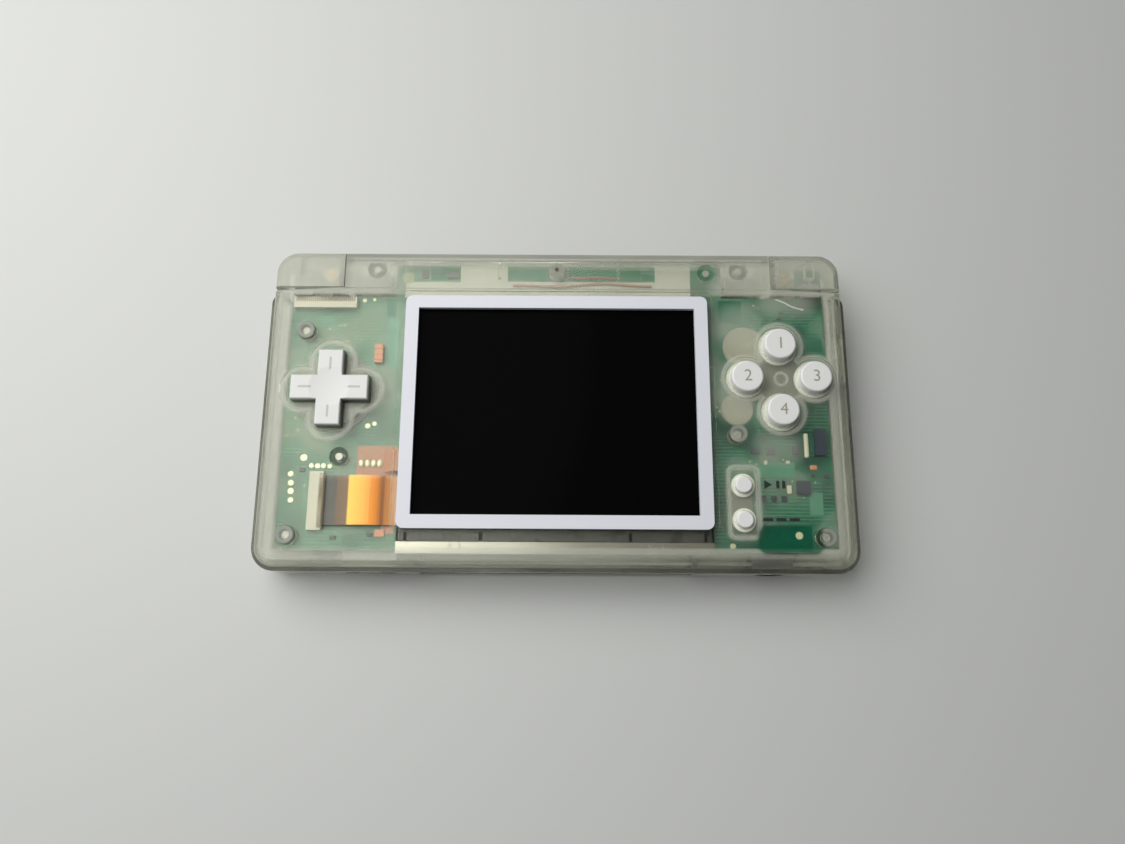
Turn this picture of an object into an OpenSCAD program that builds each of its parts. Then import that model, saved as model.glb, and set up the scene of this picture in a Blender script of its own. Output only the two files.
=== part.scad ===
// Handheld game console, a single slab: the base of a folding handheld with no lid,
// closed behind by a plain strip. Clear casing over a green board, framed screen in the
// middle, cross pad on the left, four face buttons on the right, shoulder buttons behind.
// Millimetres. Origin on the table under the middle of the footprint, X right, Y to the
// rear, Z up.

/* [Casing] */
// Width of the lower casing
body_w = 133; // [131:0.5:139]
// Depth of the casing, front to rear
body_d = 73.9; // [73:0.1:79]
// Height of the top plate above the table
body_h = 13; // [12.8:0.1:15]
// Step of the lower casing beyond the upper one
rim_step = 0.8; // [0.5:0.1:1]
// Thickness of the side walls
wall_t = 1.4; // [1.2:0.1:1.6]
// Thickness of the floor
floor_t = 1.2; // [1:0.1:1.4]
// Thickness of the top plate
plate_t = 1.2; // [1.1:0.1:1.5]
// Height of the upper casing's side, above the joint line
skirt_h = 2.2; // [2:0.1:2.6]
// Height of the upper casing's tongue, below the joint line
tongue_h = 1.2; // [0.8:0.1:1.3]
// Thickness of the tongue
tongue_t = 0.8; // [0.6:0.1:1]
// Plan radius of the front corners
front_r = 5.2; // [4.8:0.2:8]
// Plan radius of the rear corners
rear_r = 5; // [4.6:0.2:7]
// Radius of the upper edge
edge_r = 1.8; // [1:0.1:1.9]
// Radius of the lower edge
base_r = 2.4; // [1.5:0.1:2.5]
// Depth of the plain strip at the rear
strip_d = 9.2; // [8.8:0.1:9.6]
// Depth of the shallow dishes round the controls
dish_depth = 0.5; // [0.3:0.1:0.6]

/* [Feet] */
// Height of the feet below the floor
foot_h = 0.5; // [0.4:0.1:0.8]
// Radius of a foot
foot_r = 3.2; // [2.5:0.1:3.6]
// Distance of a foot's centre from the sides
foot_inset_x = 14; // [13:0.5:16]
// Distance of a foot's centre from the front and the rear
foot_inset_y = 6.4; // [6:0.2:7]

/* [Screen] */
// Casing left of the white frame
side_left = 31.7; // [31:0.1:33]
// Casing right of the white frame
side_right = 32.1; // [31.4:0.1:33]
// Casing in front of the white frame
frame_front = 9.15; // [8.9:0.05:9.6]
// Casing behind the white frame
frame_rear = 11.05; // [10.9:0.05:11.5]
// Width of the white frame's border
border_w = 3; // [2.6:0.1:3.4]
// Thickness of the white frame
bezel_t = 1.1; // [0.9:0.1:1.5]
// Corner radius of the white frame
bezel_r = 1.6; // [1:0.1:2.5]
// Depth of the seat that the frame lies in
seat_depth = 0.6; // [0.4:0.1:0.7]
// Ledge that holds the frame, inside the frame's outline
ledge_w = 1.7; // [1.4:0.1:1.9]
// Thickness of the touch panel
touch_t = 0.5; // [0.4:0.1:0.6]
// Thickness of the display
lcd_t = 1.6; // [1.4:0.1:1.8]
// How far the display's metal tray runs past the white frame, each side
tray_side = 0.1; // [0:0.05:0.3]
// How far the tray runs in front of the white frame
tray_front = 5.3; // [4.8:0.1:5.5]
// Thickness of the tray's sheet metal
tray_t = 0.3; // [0.2:0.05:0.3]

/* [Board] */
// Thickness of the circuit board
board_t = 0.8; // [0.6:0.1:1]
// Room between the board and the top plate
button_room = 2.4; // [2.35:0.05:2.7]
// Distance from the casing's outside to the board
board_inset = 4.6; // [4.2:0.1:4.9]
// Height of the two flat cable sockets
socket_h = 1.4; // [1.2:0.1:1.6]
// Length of the socket for the display's cable
cable_socket_l = 13.05; // [12:0.05:14]
// Length of the empty socket
spare_socket_l = 14.6; // [13:0.1:15]
// Width of a socket
socket_w = 2.9; // [2.6:0.1:3.1]
// Side of the processor
chip_w = 11; // [9:0.5:12]
// Side of the memory chip
memory_w = 9; // [7:0.5:10]
// Length of the red wire in the strip
wire_run = 32.5; // [28:0.5:36]
// Thickness of the display's flexible cable
flex_t = 0.2; // [0.15:0.05:0.3]

/* [Cross pad] */
// Pad centre from the left side
dpad_inset = 15.6; // [15.4:0.1:16.4]
// Pad centre, rear of the middle
dpad_y = 3.55; // [3:0.05:4]
// Span of the cross
dpad_span = 17.4; // [16.6:0.2:18]
// Width of an arm
dpad_arm = 5.6; // [5:0.1:6]
// Height of the cross above the plate
dpad_rise = 1.8; // [1.4:0.1:2.4]
// Gap round the cross
dpad_gap = 0.35; // [0.3:0.05:0.5]
// Rocking angle each way
dpad_tilt = 3.5; // [2.5:0.1:3.6]
// Radius of the pad's flange
dpad_flange_r = 8; // [7.4:0.1:8.2]
// Radius of the pivot ball
pivot_r = 1.15; // [1:0.05:1.2]

/* [Face buttons] */
// Cluster centre from the right side
face_inset = 16; // [15.6:0.1:16.6]
// Cluster centre, rear of the middle
face_y = 6.6; // [6.2:0.1:7]
// Distance of a button from the cluster centre
face_pitch = 7.7; // [7.4:0.1:7.9]
// Diameter of a button
face_d = 7.1; // [6.5:0.1:7.4]
// Height of a button above the plate
face_rise = 1.8; // [1.4:0.1:2]
// Travel of a button
face_travel = 0.9; // [0.6:0.1:1]
// Gap round a button
button_gap = 0.3; // [0.25:0.05:0.35]

/* [Menu buttons] */
// Column of the two small buttons, from the right side
menu_inset = 25.3; // [24.8:0.1:25.6]
// Start button, front of the middle
start_y = -17.8; // [-18.2:0.1:-17.4]
// Distance between the two small buttons
menu_pitch = 7.7; // [7.2:0.1:8]
// Diameter of a small button
menu_d = 3.7; // [3.3:0.1:3.9]
// Height of a small button above the plate
menu_rise = 0.4; // [0.3:0.1:0.8]
// Travel of a small button
menu_travel = 0.4; // [0.3:0.1:0.5]

/* [Shoulder buttons] */
// Length of a shoulder button along the rear edge
trigger_w = 16.1; // [15.6:0.1:16.6]
// Depth of a shoulder button along the side
trigger_d = 8.75; // [8.6:0.05:9]
// Height of the casing's sill under a shoulder button, above the floor
sill_h = 3.1; // [2.8:0.1:3.3]
// Pivot from the side of the casing
pin_inset_x = 13.6; // [13.2:0.1:13.8]
// Pivot from the rear of the casing
pin_inset_y = 5.45; // [5.2:0.05:5.6]
// Radius of a pivot pin
pin_r = 0.8; // [0.7:0.05:0.85]
// Swing of a shoulder button
trigger_swing = 4; // [3:0.1:4.2]
// Radius of the return spring's coil, to the middle of the wire
coil_r = 1.35; // [1.3:0.05:1.4]
// Diameter of the spring's wire
wire_d = 0.36; // [0.3:0.02:0.4]
// Rise of the spring in a turn
coil_pitch = 0.86; // [0.85:0.01:0.88]
// Whole turns of the spring, before its last quarter
coil_turns = 3; // [2:1:3]

/* [Sliders] */
// Middle of the power slider, rear of the middle
power_y = 12.2; // [11:0.1:13]
// Length of the power slider's knob
power_len = 7.9; // [7:0.1:8.4]
// Travel of the power slider
power_travel = 2.2; // [1.5:0.1:2.4]
// Middle of the volume slider, from the side of the cartridge slot
volume_offset = 11; // [10.5:0.1:12]
// Length of the volume slider's knob
volume_len = 4.6; // [4:0.1:5]
// Travel of the volume slider each way
volume_travel = 3; // [2:0.1:3.2]
// Height of both knobs
knob_h = 2.6; // [2.2:0.1:2.8]
// Spacing of the knobs' ribs
rib_pitch = 0.75; // [0.6:0.05:1]

/* [Slots and sockets] */
// Width of the cartridge slot
cart_w = 60; // [58:0.5:60.5]
// Depth of the cartridge slot behind the front
cart_d = 33; // [30:0.5:34]
// Width of the card slot
card_w = 33.8; // [33:0.1:34.5]
// Height of the card slot
card_h = 4.6; // [4.5:0.1:4.8]
// Room between the cartridge's contacts and the card's cage
slot_gap = 5.35; // [3:0.05:7]
// Headphone socket from the right side
jack_inset = 19; // [18.5:0.1:19.5]
// Radius of the headphone socket's bore
jack_r = 1.8; // [1.75:0.05:1.9]
// Charging socket, from the rear screw
charge_offset = 11.1; // [10:0.1:12]
// Width of the charging socket's mouth
charge_w = 7.4; // [6.8:0.1:7.8]

/* [Battery] */
// Gap between the cartridge's guide and the battery's rib
battery_gap = 0.8; // [0.6:0.1:3]
// Casing in front of the battery
battery_front = 15.95; // [15.8:0.05:18]
// Casing behind the battery
battery_rear = 16.95; // [16.8:0.05:20]
// Thickness of the battery
battery_t = 5.2; // [4.6:0.1:5.3]
// Battery from the right side
battery_inset = 9.3; // [9.2:0.1:9.8]

/* [Speaker] */
// Radius of the speaker
speaker_r = 9.5; // [8:0.1:9.8]
// Height of the speaker
speaker_h = 3.4; // [3:0.1:4]
// Speaker centre from the left side
speaker_inset = 17.5; // [17:0.1:18.5]
// Speaker centre, rear of the middle
speaker_y = 1.5; // [1:0.1:2.5]

/* [Fasteners] */
// Corner screws from the sides
screw_inset_x = 7.6; // [7.2:0.1:7.8]
// Front screws from the front
screw_inset_y = 7.7; // [7.5:0.1:8.6]
// Rear screws, from the shoulder buttons' bays
rear_screw_gap = 7.15; // [6.9:0.05:7.6]
// Rear screws from the rear
rear_screw_inset = 4.2; // [4.1:0.1:4.5]
// Radius of a screw's shank
screw_r = 0.8; // [0.7:0.05:0.9]
// Radius of a screw's head
head_r = 1.6; // [1.5:0.05:1.7]
// Height of a screw's head
head_h = 0.9; // [0.7:0.1:1]
// Radius of a screw post
boss_r = 2.3; // [2.2:0.05:2.4]

/* [Fits] */
// Clearance of pieces that are fitted and stay put
fit = 0.15; // [0.1:0.05:0.2]
// Clearance of pieces that move past each other
run = 0.25; // [0.2:0.05:0.3]
// Radial clearance of a pin in its bore
pin_fit = 0.05; // [0.03:0.01:0.08]

/* [Hidden] */
$fn = 64;

// Overshoot of a cut past the face that it opens
over = 1;

// Sides of the casing
side_x = body_w / 2;
front_y = -body_d / 2;
rear_y = body_d / 2;
top_x = side_x - rim_step;
top_front_y = front_y + rim_step;
strip_y = rear_y - strip_d;

// Levels, from the table up
floor_z = foot_h;
floor_top = floor_z + floor_t;
plate_z = body_h - plate_t;
joint_z = body_h - skirt_h;
board_top = plate_z - button_room;
board_z = board_top - board_t;
seat_z = body_h - seat_depth;
tongue_z = joint_z - tongue_h;
slider_z = (floor_top + board_z) / 2 + 1.2;

// Centres of the controls
dpad_x = -side_x + dpad_inset;
face_x = side_x - face_inset;
menu_x = side_x - menu_inset;
select_y = start_y - menu_pitch;
face_places = [[0, face_pitch], [-face_pitch, 0], [face_pitch, 0], [0, -face_pitch]];

// Screen and its tray
screen_x = (side_left - side_right) / 2;
screen_y = (frame_front - frame_rear) / 2;
bezel_w = body_w - side_left - side_right;
bezel_d = body_d - frame_front - frame_rear;
window_w = bezel_w - 2 * border_w;
window_d = bezel_d - 2 * border_w;
tray_w = bezel_w + 2 * tray_side;

// Shoulder buttons
trigger_x = top_x - trigger_w;
trigger_y = rear_y - trigger_d;
sill_z = floor_top + sill_h;
trigger_z = sill_z + run;
pin_x = side_x - pin_inset_x;
pin_y = rear_y - pin_inset_y;
bay_x = trigger_x - run - 0.1;
bay_y_in = trigger_y - run;
bay_y_out = trigger_y - (top_x - pin_x) * sin(trigger_swing) - run;
pin_top = plate_z - 1.1;
boss_low = floor_top + sill_h + run + 0.05;

// Spring of a shoulder button
coil_z = boss_low + wire_d / 2 + 0.25;
coil_top = coil_z + coil_pitch * (coil_turns + 0.25) + wire_d / 2;
spring_stop_y = trigger_y - 0.35;

// Screws: place, and top of the lower post
rear_screw_x = bay_x - rear_screw_gap;
fifth_screw_dx = 1.3;
fifth_screw_dy = 0.9;
case_screw_places = [
    [-side_x + screw_inset_x, front_y + screw_inset_y, board_z],
    [side_x - screw_inset_x, front_y + screw_inset_y, board_z],
    [-rear_screw_x, rear_y - rear_screw_inset, board_top],
    [rear_screw_x, rear_y - rear_screw_inset, board_top],
    [-side_x + screw_inset_x + fifth_screw_dx, strip_y - strip_d - fifth_screw_dy, board_z]
];
socket_y = front_y + 8.9;
board_screw_places = [
    [dpad_x + 2.55, socket_y + cable_socket_l + 3.2],
    [face_x - 10, face_y - 12.9],
    [rear_screw_x - 7.5, rear_y - rear_screw_inset - 0.5]
];

// Battery, between the cartridge's guide and the right side
guide_t = 1.1;
bay_rib = 1;
battery_w = side_x - battery_inset - cart_w / 2 - guide_t - battery_gap - bay_rib - 2 * fit;
battery_l = body_d - battery_front - battery_rear;
battery_y = front_y + battery_front;

// Battery bay in the floor
bay_lo = [side_x - battery_inset - battery_w - 2 * fit, battery_y - 2 * fit];
bay_hi = [side_x - battery_inset + 2 * fit, battery_y + battery_l + 2 * fit];
cover_lip = 1.3;
cover_t = floor_t * 0.6;
cover_ear = [bay_lo[0] + 4.6, bay_hi[1] + 4.9];
ear_r = 2.6;
contact_x0 = cover_ear[0] + ear_r + 4.1;
contact_x1 = bay_hi[0] - 3.7;

// Screen
frame_front_y = screen_y - bezel_d / 2;
frame_rear_y = screen_y + bezel_d / 2;
tray_z = board_top + 0.1;
tray_x0 = screen_x - tray_w / 2;
tray_y0 = frame_front_y - tray_front;
tray_y1 = frame_rear_y + 0.7;
lcd_z = tray_z + tray_t;
lcd_top = lcd_z + lcd_t;
touch_z = max(lcd_top, plate_z - 0.25);
touch_top = touch_z + touch_t;
hole_w = bezel_w - 2 * ledge_w;
hole_d = bezel_d - 2 * ledge_w;

// Sockets on the board
front_socket = [-side_x + 11.7, socket_y, socket_w + 0.2, cable_socket_l];
rear_socket = [-side_x + 5.2, strip_y - 4.05, spare_socket_l, socket_w - 0.3];

// Slots
cart_top = board_z - 0.2;
cage_t = 0.45;
cage_top = board_z;
card_z0 = cage_top - cage_t - card_h;
connector_y = front_y + cart_d;
connector_d = 5;
card_block = 3;
card_d = body_d - wall_t - fit - cart_d - connector_d - card_block - slot_gap;
charge_x = rear_screw_x - charge_offset;
jack_x = side_x - jack_inset;
jack_z = board_z - 3.2;
jack_nose_r = jack_r + 1.1;
charge_z0 = board_z - 5.2;

// Solid between two opposite corners
module block(lo, hi) {
    translate(lo) cube(hi - lo);
}

// Rounded rectangle with one radius in front and one behind
module plan(x0, x1, y0, y1, rf, rr) {
    ym = (y0 + y1) / 2;
    translate([x0 + rf, y0]) square([x1 - x0 - 2 * rf, ym - y0]);
    translate([x0 + rr, ym]) square([x1 - x0 - 2 * rr, y1 - ym]);
    translate([x0, y0 + rf]) square([x1 - x0, y1 - y0 - rf - rr]);
    for (x = [x0 + rf, x1 - rf]) translate([x, y0 + rf]) circle(rf);
    for (x = [x0 + rr, x1 - rr]) translate([x, y1 - rr]) circle(rr);
}

// Plate over a rounded rectangle, from z0 to z1
module plate(x0, x1, y0, y1, r, z0, z1) {
    translate([0, 0, z0]) linear_extrude(z1 - z0) plan(x0, x1, y0, y1, r, r);
}

// Half section of a slab: reach r, height h, upper edge of radius e
module edge_section(r, h, e) {
    square([r, h - e]);
    square([r - e, h]);
    translate([r - e, h - e]) intersection() {
        circle(e);
        square(e);
    }
}

// Slab whose upper edge is rounded, with its lower face at z = 0
module soft_slab(x0, x1, y0, y1, rf, rr, h, e) {
    ym = (y0 + y1) / 2;
    corners = [
        [x0 + rf, y0 + rf, 180, rf], [x1 - rf, y0 + rf, 270, rf],
        [x1 - rr, y1 - rr, 0, rr], [x0 + rr, y1 - rr, 90, rr]
    ];
    for (c = corners)
        translate([c[0], c[1], 0]) rotate([0, 0, c[2]])
            rotate_extrude(angle = 90) edge_section(c[3], h, e);
    for (s = [0, 1])
        translate([(x0 + x1) / 2, y1 - rr, 0]) rotate([90, 0, 0])
            linear_extrude(y1 - y0 - rf - rr) mirror([s, 0])
                edge_section((x1 - x0) / 2, h, e);
    translate([x0 + rf, ym, 0]) rotate([90, 0, 90])
        linear_extrude(x1 - x0 - 2 * rf) mirror([1, 0]) edge_section(ym - y0, h, e);
    translate([x0 + rr, ym, 0]) rotate([90, 0, 90])
        linear_extrude(x1 - x0 - 2 * rr) edge_section(y1 - ym, h, e);
}

// Cross with square ends, span by arm width
module cross(span, arm) {
    square([span, arm], center = true);
    square([arm, span], center = true);
}

// Room inside the lower casing, drawn in by g
module inner_plan(g) {
    plan(-side_x + wall_t + g, side_x - wall_t - g, front_y + wall_t + g,
        strip_y, front_r - wall_t - g, 1);
    plan(-top_x + wall_t + g, top_x - wall_t - g, front_y + wall_t + g,
        rear_y - wall_t - g, front_r - wall_t - g, rear_r - wall_t - g);
}

// Space that the right-hand shoulder button swings in
module trigger_bay() {
    far = side_x + over;
    polygon([
        [bay_x, bay_y_in], [top_x, bay_y_out], [far, bay_y_out],
        [far, rear_y + over], [bay_x, rear_y + over]
    ]);
}

// Both bays, from z up
module trigger_bays(z) {
    for (s = [0, 1])
        mirror([s, 0, 0]) translate([0, 0, z]) linear_extrude(body_h + over - z)
            trigger_bay();
}

// Upper casing with its tongue, screen seat, dishes, button holes and screw posts
module upper_shell() {
    color([0.80, 0.82, 0.76])
    difference() {
        union() {
            difference() {
                translate([0, 0, joint_z])
                    soft_slab(-top_x, top_x, top_front_y, rear_y,
                        front_r - rim_step, rear_r, skirt_h, edge_r);
                translate([0, 0, joint_z - over]) linear_extrude(plate_z - joint_z + over)
                    plan(-top_x + wall_t, top_x - wall_t, top_front_y + wall_t,
                        rear_y - wall_t, front_r - rim_step - wall_t, rear_r - wall_t);
            }
            translate([0, 0, tongue_z]) linear_extrude(plate_z - tongue_z + 0.1)
                difference() {
                    inner_plan(fit);
                    inner_plan(fit + tongue_t);
                }
            for (p = case_screw_places) post(p, boss_r - 0.1);
            for (p = board_screw_places) post(p, boss_r - 0.2);
            for (s = [0, 1])
                mirror([s, 0, 0])
                    block([bay_x - wall_t, strip_y, tongue_z],
                        [bay_x, rear_y - wall_t, plate_z + 0.1]);
            block([side_x - board_inset + 0.8, face_y + 5, board_top + 0.4],
                [side_x - board_inset + 1.5, strip_y - 2, plate_z + 0.1]);
            for (x = [wire_x - 3.4, wire_x + 24.5])
                block([x, strip_y + 3.4, board_top + 0.4],
                    [x + 0.6, rear_y - wall_t, plate_z + 0.1]);
        }
        trigger_bays(tongue_z - over);
        for (p = case_screw_places) pilot(p);
        for (p = board_screw_places) pilot(p);
        screen_cuts();
        dpad_cuts();
        face_cuts();
        menu_cuts();
        // Fine seam in front of the rear strip
        block([-bay_x, strip_y - 0.12, body_h - 0.25], [bay_x, strip_y + 0.12, body_h + over]);
        // Sound hole over the microphone
        translate([screen_x, mic_y, plate_z - over]) cylinder(r = 0.5, h = plate_t + 2 * over);
    }
}

// Screw post under the top plate
module post(p, r) {
    translate([p[0], p[1], board_top]) cylinder(r = r, h = button_room + 0.1);
}

// Pilot hole of a screw post
module pilot(p) {
    translate([p[0], p[1], board_top - over])
        cylinder(r = screw_r + pin_fit, h = button_room + over - 0.3);
}

// Seat of the white frame and the window through the plate
module screen_cuts() {
    plate(screen_x - bezel_w / 2 - 1.3, screen_x + bezel_w / 2 + 1.3,
        frame_front_y - 0.6, frame_rear_y + 1.35, bezel_r, seat_z, body_h + over);
    plate(screen_x - hole_w / 2, screen_x + hole_w / 2, screen_y - hole_d / 2,
        screen_y + hole_d / 2, 0.8, plate_z - over, body_h + over);
}

// Dish and cross-shaped hole of the pad
module dpad_cuts() {
    lobe_r = dpad_arm - 0.3;
    lobe_at = dpad_span / 2 - 2.3;
    translate([dpad_x, dpad_y, body_h - dish_depth]) {
        for (a = [0:90:270])
            rotate([0, 0, a]) translate([lobe_at, 0, 0]) cylinder(r = lobe_r, h = 3);
        cylinder(r = lobe_at + 0.6, h = 3);
    }
    translate([dpad_x, dpad_y, plate_z - over]) linear_extrude(plate_t + 2 * over)
        cross(dpad_span + 2 * dpad_gap, dpad_arm + 2 * dpad_gap);
}

// Dish, holes and small centre ring of the face buttons
module face_cuts() {
    dish_z = body_h - dish_depth;
    for (p = face_places) {
        translate([face_x + p[0], face_y + p[1], dish_z])
            cylinder(r = face_d / 2 + 1.45, h = 3);
        translate([face_x + p[0], face_y + p[1], plate_z - over])
            cylinder(r = face_d / 2 + button_gap, h = plate_t + 2 * over);
    }
    difference() {
        translate([face_x, face_y, dish_z]) cylinder(r = face_pitch - 1, h = 3);
        translate([face_x + 0.3, face_y, plate_z]) cylinder(r = 1.4, h = plate_t - dish_depth + 0.2);
    }
}

// Dish and holes of the two small buttons
module menu_cuts() {
    half = menu_d / 2 + 1.2;
    plate(menu_x - half, menu_x + half, select_y - half - 0.7, start_y + half + 0.7, 1.6,
        seat_z, body_h + over);
    for (y = [start_y, select_y])
        translate([menu_x, y, plate_z - over])
            cylinder(r = menu_d / 2 + button_gap, h = plate_t + 2 * over);
}

// Lower casing: floor, walls, posts, slot guides, battery bay and openings
module lower_shell() {
    color([0.76, 0.78, 0.72])
    difference() {
        union() {
            difference() {
                translate([0, 0, joint_z]) mirror([0, 0, 1]) {
                    soft_slab(-side_x, side_x, front_y, strip_y - 0.5, front_r,
                        base_r + 0.2, joint_z - floor_z, base_r);
                    soft_slab(-top_x, top_x, top_front_y, rear_y, front_r - rim_step,
                        rear_r, joint_z - floor_z, base_r);
                }
                translate([0, 0, floor_top]) linear_extrude(joint_z)
                    inner_plan(0);
            }
            for (p = case_screw_places)
                translate([p[0], p[1], floor_z + 0.2]) cylinder(r = boss_r, h = p[2] - floor_z - 0.2);
            battery_ribs();
            speaker_ring();
            trigger_supports();
        }
        trigger_bays(sill_z);
        for (p = case_screw_places) screw_hole(p);
        foot_places() translate([0, 0, floor_z - over]) cylinder(r = foot_r + 0.1, h = over + 0.3);
        battery_cuts();
        speaker_holes();
        front_openings();
        side_opening();
        rear_openings();
    }
}

// Clearance hole and counterbore of a case screw
module screw_hole(p) {
    translate([p[0], p[1], floor_z - over]) {
        cylinder(r = screw_r + 0.3, h = body_h);
        cylinder(r = head_r + 0.2, h = over + head_h + 0.4);
    }
}

// Repeats its children at the four feet
module foot_places() {
    for (x = [-side_x + foot_inset_x, side_x - foot_inset_x],
        y = [front_y + foot_inset_y, rear_y - foot_inset_y])
        translate([x, y, 0]) children();
}

// Ribs round the battery, and the post of the cover's screw
module battery_ribs() {
    difference() {
        block([bay_lo[0] - bay_rib, bay_lo[1] - bay_rib, floor_top - 0.1],
            [bay_hi[0] + bay_rib, bay_hi[1] + bay_rib, floor_top + battery_t]);
        block([bay_lo[0], bay_lo[1], floor_z], [bay_hi[0], bay_hi[1], body_h]);
        contact_window();
    }
    translate([cover_ear[0], cover_ear[1], floor_z + 0.2])
        cylinder(r = ear_r + 1, h = floor_t + 4.4);
}

// Gap in the bay's rear rib for the battery contacts
module contact_window() {
    block([contact_x0 - 0.5, bay_hi[1] - over, floor_top + 1],
        [contact_x1 + 0.5, bay_hi[1] + bay_rib + over, body_h]);
}

// Stepped opening for the battery cover, with the hole of its screw
module battery_cuts() {
    block([bay_lo[0], bay_lo[1], floor_z - over], [bay_hi[0], bay_hi[1], floor_top + over]);
    plate(bay_lo[0] - cover_lip, bay_hi[0] + cover_lip, bay_lo[1] - cover_lip,
        bay_hi[1] + cover_lip, 1.2, floor_z - over, floor_z + cover_t);
    translate([cover_ear[0], cover_ear[1], floor_z - over]) {
        cylinder(r = ear_r + fit, h = over + ear_h);
        cylinder(r = screw_r + pin_fit, h = over + floor_t + 4);
    }
    block([cover_ear[0] - ear_r - fit, bay_hi[1] + cover_lip - 0.5, floor_z - over],
        [cover_ear[0] + ear_r + fit, cover_ear[1], floor_z + cover_t]);
}

// Ring that the speaker stands in
module speaker_ring() {
    translate([speaker_x, speaker_y, floor_top - 0.1]) difference() {
        cylinder(r = speaker_r + fit + 0.8, h = 2.1);
        translate([0, 0, -over]) cylinder(r = speaker_r + fit, h = 3 + over);
    }
}

// Sound holes under the speaker
module speaker_holes() {
    translate([speaker_x, speaker_y, floor_z - over]) {
        cylinder(r = 0.8, h = floor_t + 2 * over);
        for (a = [0:60:300])
            rotate([0, 0, a]) translate([speaker_r * 0.42, 0, 0])
                cylinder(r = 0.8, h = floor_t + 2 * over);
    }
}

// Inner walls beside the shoulder buttons, pin posts and spring stops
module trigger_supports() {
    for (s = [0, 1])
        mirror([s, 0, 0]) {
            block([bay_x - wall_t, strip_y, floor_top - 0.1],
                [bay_x, rear_y - wall_t + 0.1, tongue_z - 0.1]);
            difference() {
                translate([pin_x, pin_y, floor_top - 0.1])
                    cylinder(r = pin_r + 1.2, h = sill_h + 0.1);
                translate([pin_x, pin_y, floor_top + 0.5])
                    cylinder(r = pin_r + 0.02, h = body_h);
            }
            block([pin_x + coil_r - 0.7, spring_stop_y - 0.9, floor_top - 0.1],
                [pin_x + coil_r + 0.7, spring_stop_y, coil_z + 0.6]);
        }
}

// Mouth of the cartridge slot, headphone socket and volume slider
module front_openings() {
    block([-cart_w / 2, front_y - over, floor_top],
        [cart_w / 2, front_y + wall_t + over, cart_top]);
    translate([jack_x, front_y - over, jack_z]) rotate([-90, 0, 0])
        cylinder(r = jack_nose_r + fit, h = wall_t + 2 * over);
    half = volume_len / 2 + volume_travel + run;
    block([volume_x - half, front_y - over, slider_z - knob_h / 2 - run],
        [volume_x + half, front_y + wall_t + over, slider_z + knob_h / 2 + run]);
}

// Opening of the power slider
module side_opening() {
    block([side_x - wall_t - over, power_y - power_len / 2 - run, slider_z - knob_h / 2 - run],
        [side_x + over, power_y + power_len / 2 + power_travel + run,
            slider_z + knob_h / 2 + run]);
}

// Mouths of the card slot and of the charging socket
module rear_openings() {
    block([-card_w / 2, rear_y - wall_t - over, card_z0],
        [card_w / 2, rear_y + over, card_z0 + card_h]);
    half = charge_w / 2 + 0.6 + fit;
    block([-charge_x - half, rear_y - wall_t - over, charge_z0 - fit],
        [-charge_x + half, rear_y + over, board_z + fit]);
}

mic_y = rear_y - 4.2;
speaker_x = -side_x + speaker_inset;
volume_x = -cart_w / 2 - volume_offset;
wire_x = -10.5;
ear_h = cover_t + 0.9;

// Four feet under the corners
module rubber_feet() {
    color([0.55, 0.56, 0.55])
    foot_places() {
        translate([0, 0, 0.25]) cylinder(r = foot_r, h = foot_h + 0.05);
        cylinder(r1 = foot_r - 0.25, r2 = foot_r, h = 0.25);
    }
}

// Pan-head screw standing on its head, shank upwards
module screw(length) {
    difference() {
        cylinder(r = head_r, h = head_h);
        for (a = [0, 90])
            rotate([0, 0, a]) block([-head_r * 0.6, -0.2, -over], [head_r * 0.6, 0.2, head_h * 0.6]);
    }
    translate([0, 0, head_h - 0.05]) cylinder(r = screw_r, h = length + 0.05);
}

// Screws from below that hold the two casings together
module case_screws() {
    color([0.70, 0.70, 0.72])
    for (p = case_screw_places)
        translate([p[0], p[1], floor_z + 0.4]) screw(plate_z - 0.5 - floor_z - 0.4 - head_h);
}

// Short screws from below that hold the board to the upper casing
module board_screws() {
    color([0.70, 0.70, 0.72])
    for (p = board_screw_places)
        translate([p[0], p[1], board_z - head_h]) screw(board_t + button_room - 0.5);
}

// Cover of the battery, stepped, with an ear for its screw
module battery_cover() {
    color([0.76, 0.78, 0.72])
    difference() {
        union() {
            plate(bay_lo[0] - cover_lip + fit, bay_hi[0] + cover_lip - fit,
                bay_lo[1] - cover_lip + fit, bay_hi[1] + cover_lip - fit, 1.1,
                floor_z, floor_z + cover_t);
            plate(bay_lo[0] + fit, bay_hi[0] - fit, bay_lo[1] + fit, bay_hi[1] - fit, 0.8,
                floor_z + cover_t - 0.1, floor_top);
            block([cover_ear[0] - ear_r, bay_hi[1], floor_z],
                [cover_ear[0] + ear_r, cover_ear[1], floor_z + cover_t]);
            translate([cover_ear[0], cover_ear[1], floor_z]) cylinder(r = ear_r, h = ear_h);
        }
        translate([cover_ear[0], cover_ear[1], floor_z - over]) {
            cylinder(r = screw_r + 0.3, h = 9);
            cylinder(r = head_r + 0.2, h = over + head_h + 0.1);
        }
    }
}

// Screw of the battery cover
module battery_cover_screw() {
    color([0.70, 0.70, 0.72])
    translate([cover_ear[0], cover_ear[1], floor_z + 0.1]) screw(3.6);
}

// Flat battery
module battery_pack() {
    color([0.28, 0.30, 0.34])
    plate(side_x - battery_inset - battery_w, side_x - battery_inset, battery_y,
        battery_y + battery_l, 1.5, floor_top, floor_top + battery_t);
}

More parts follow.
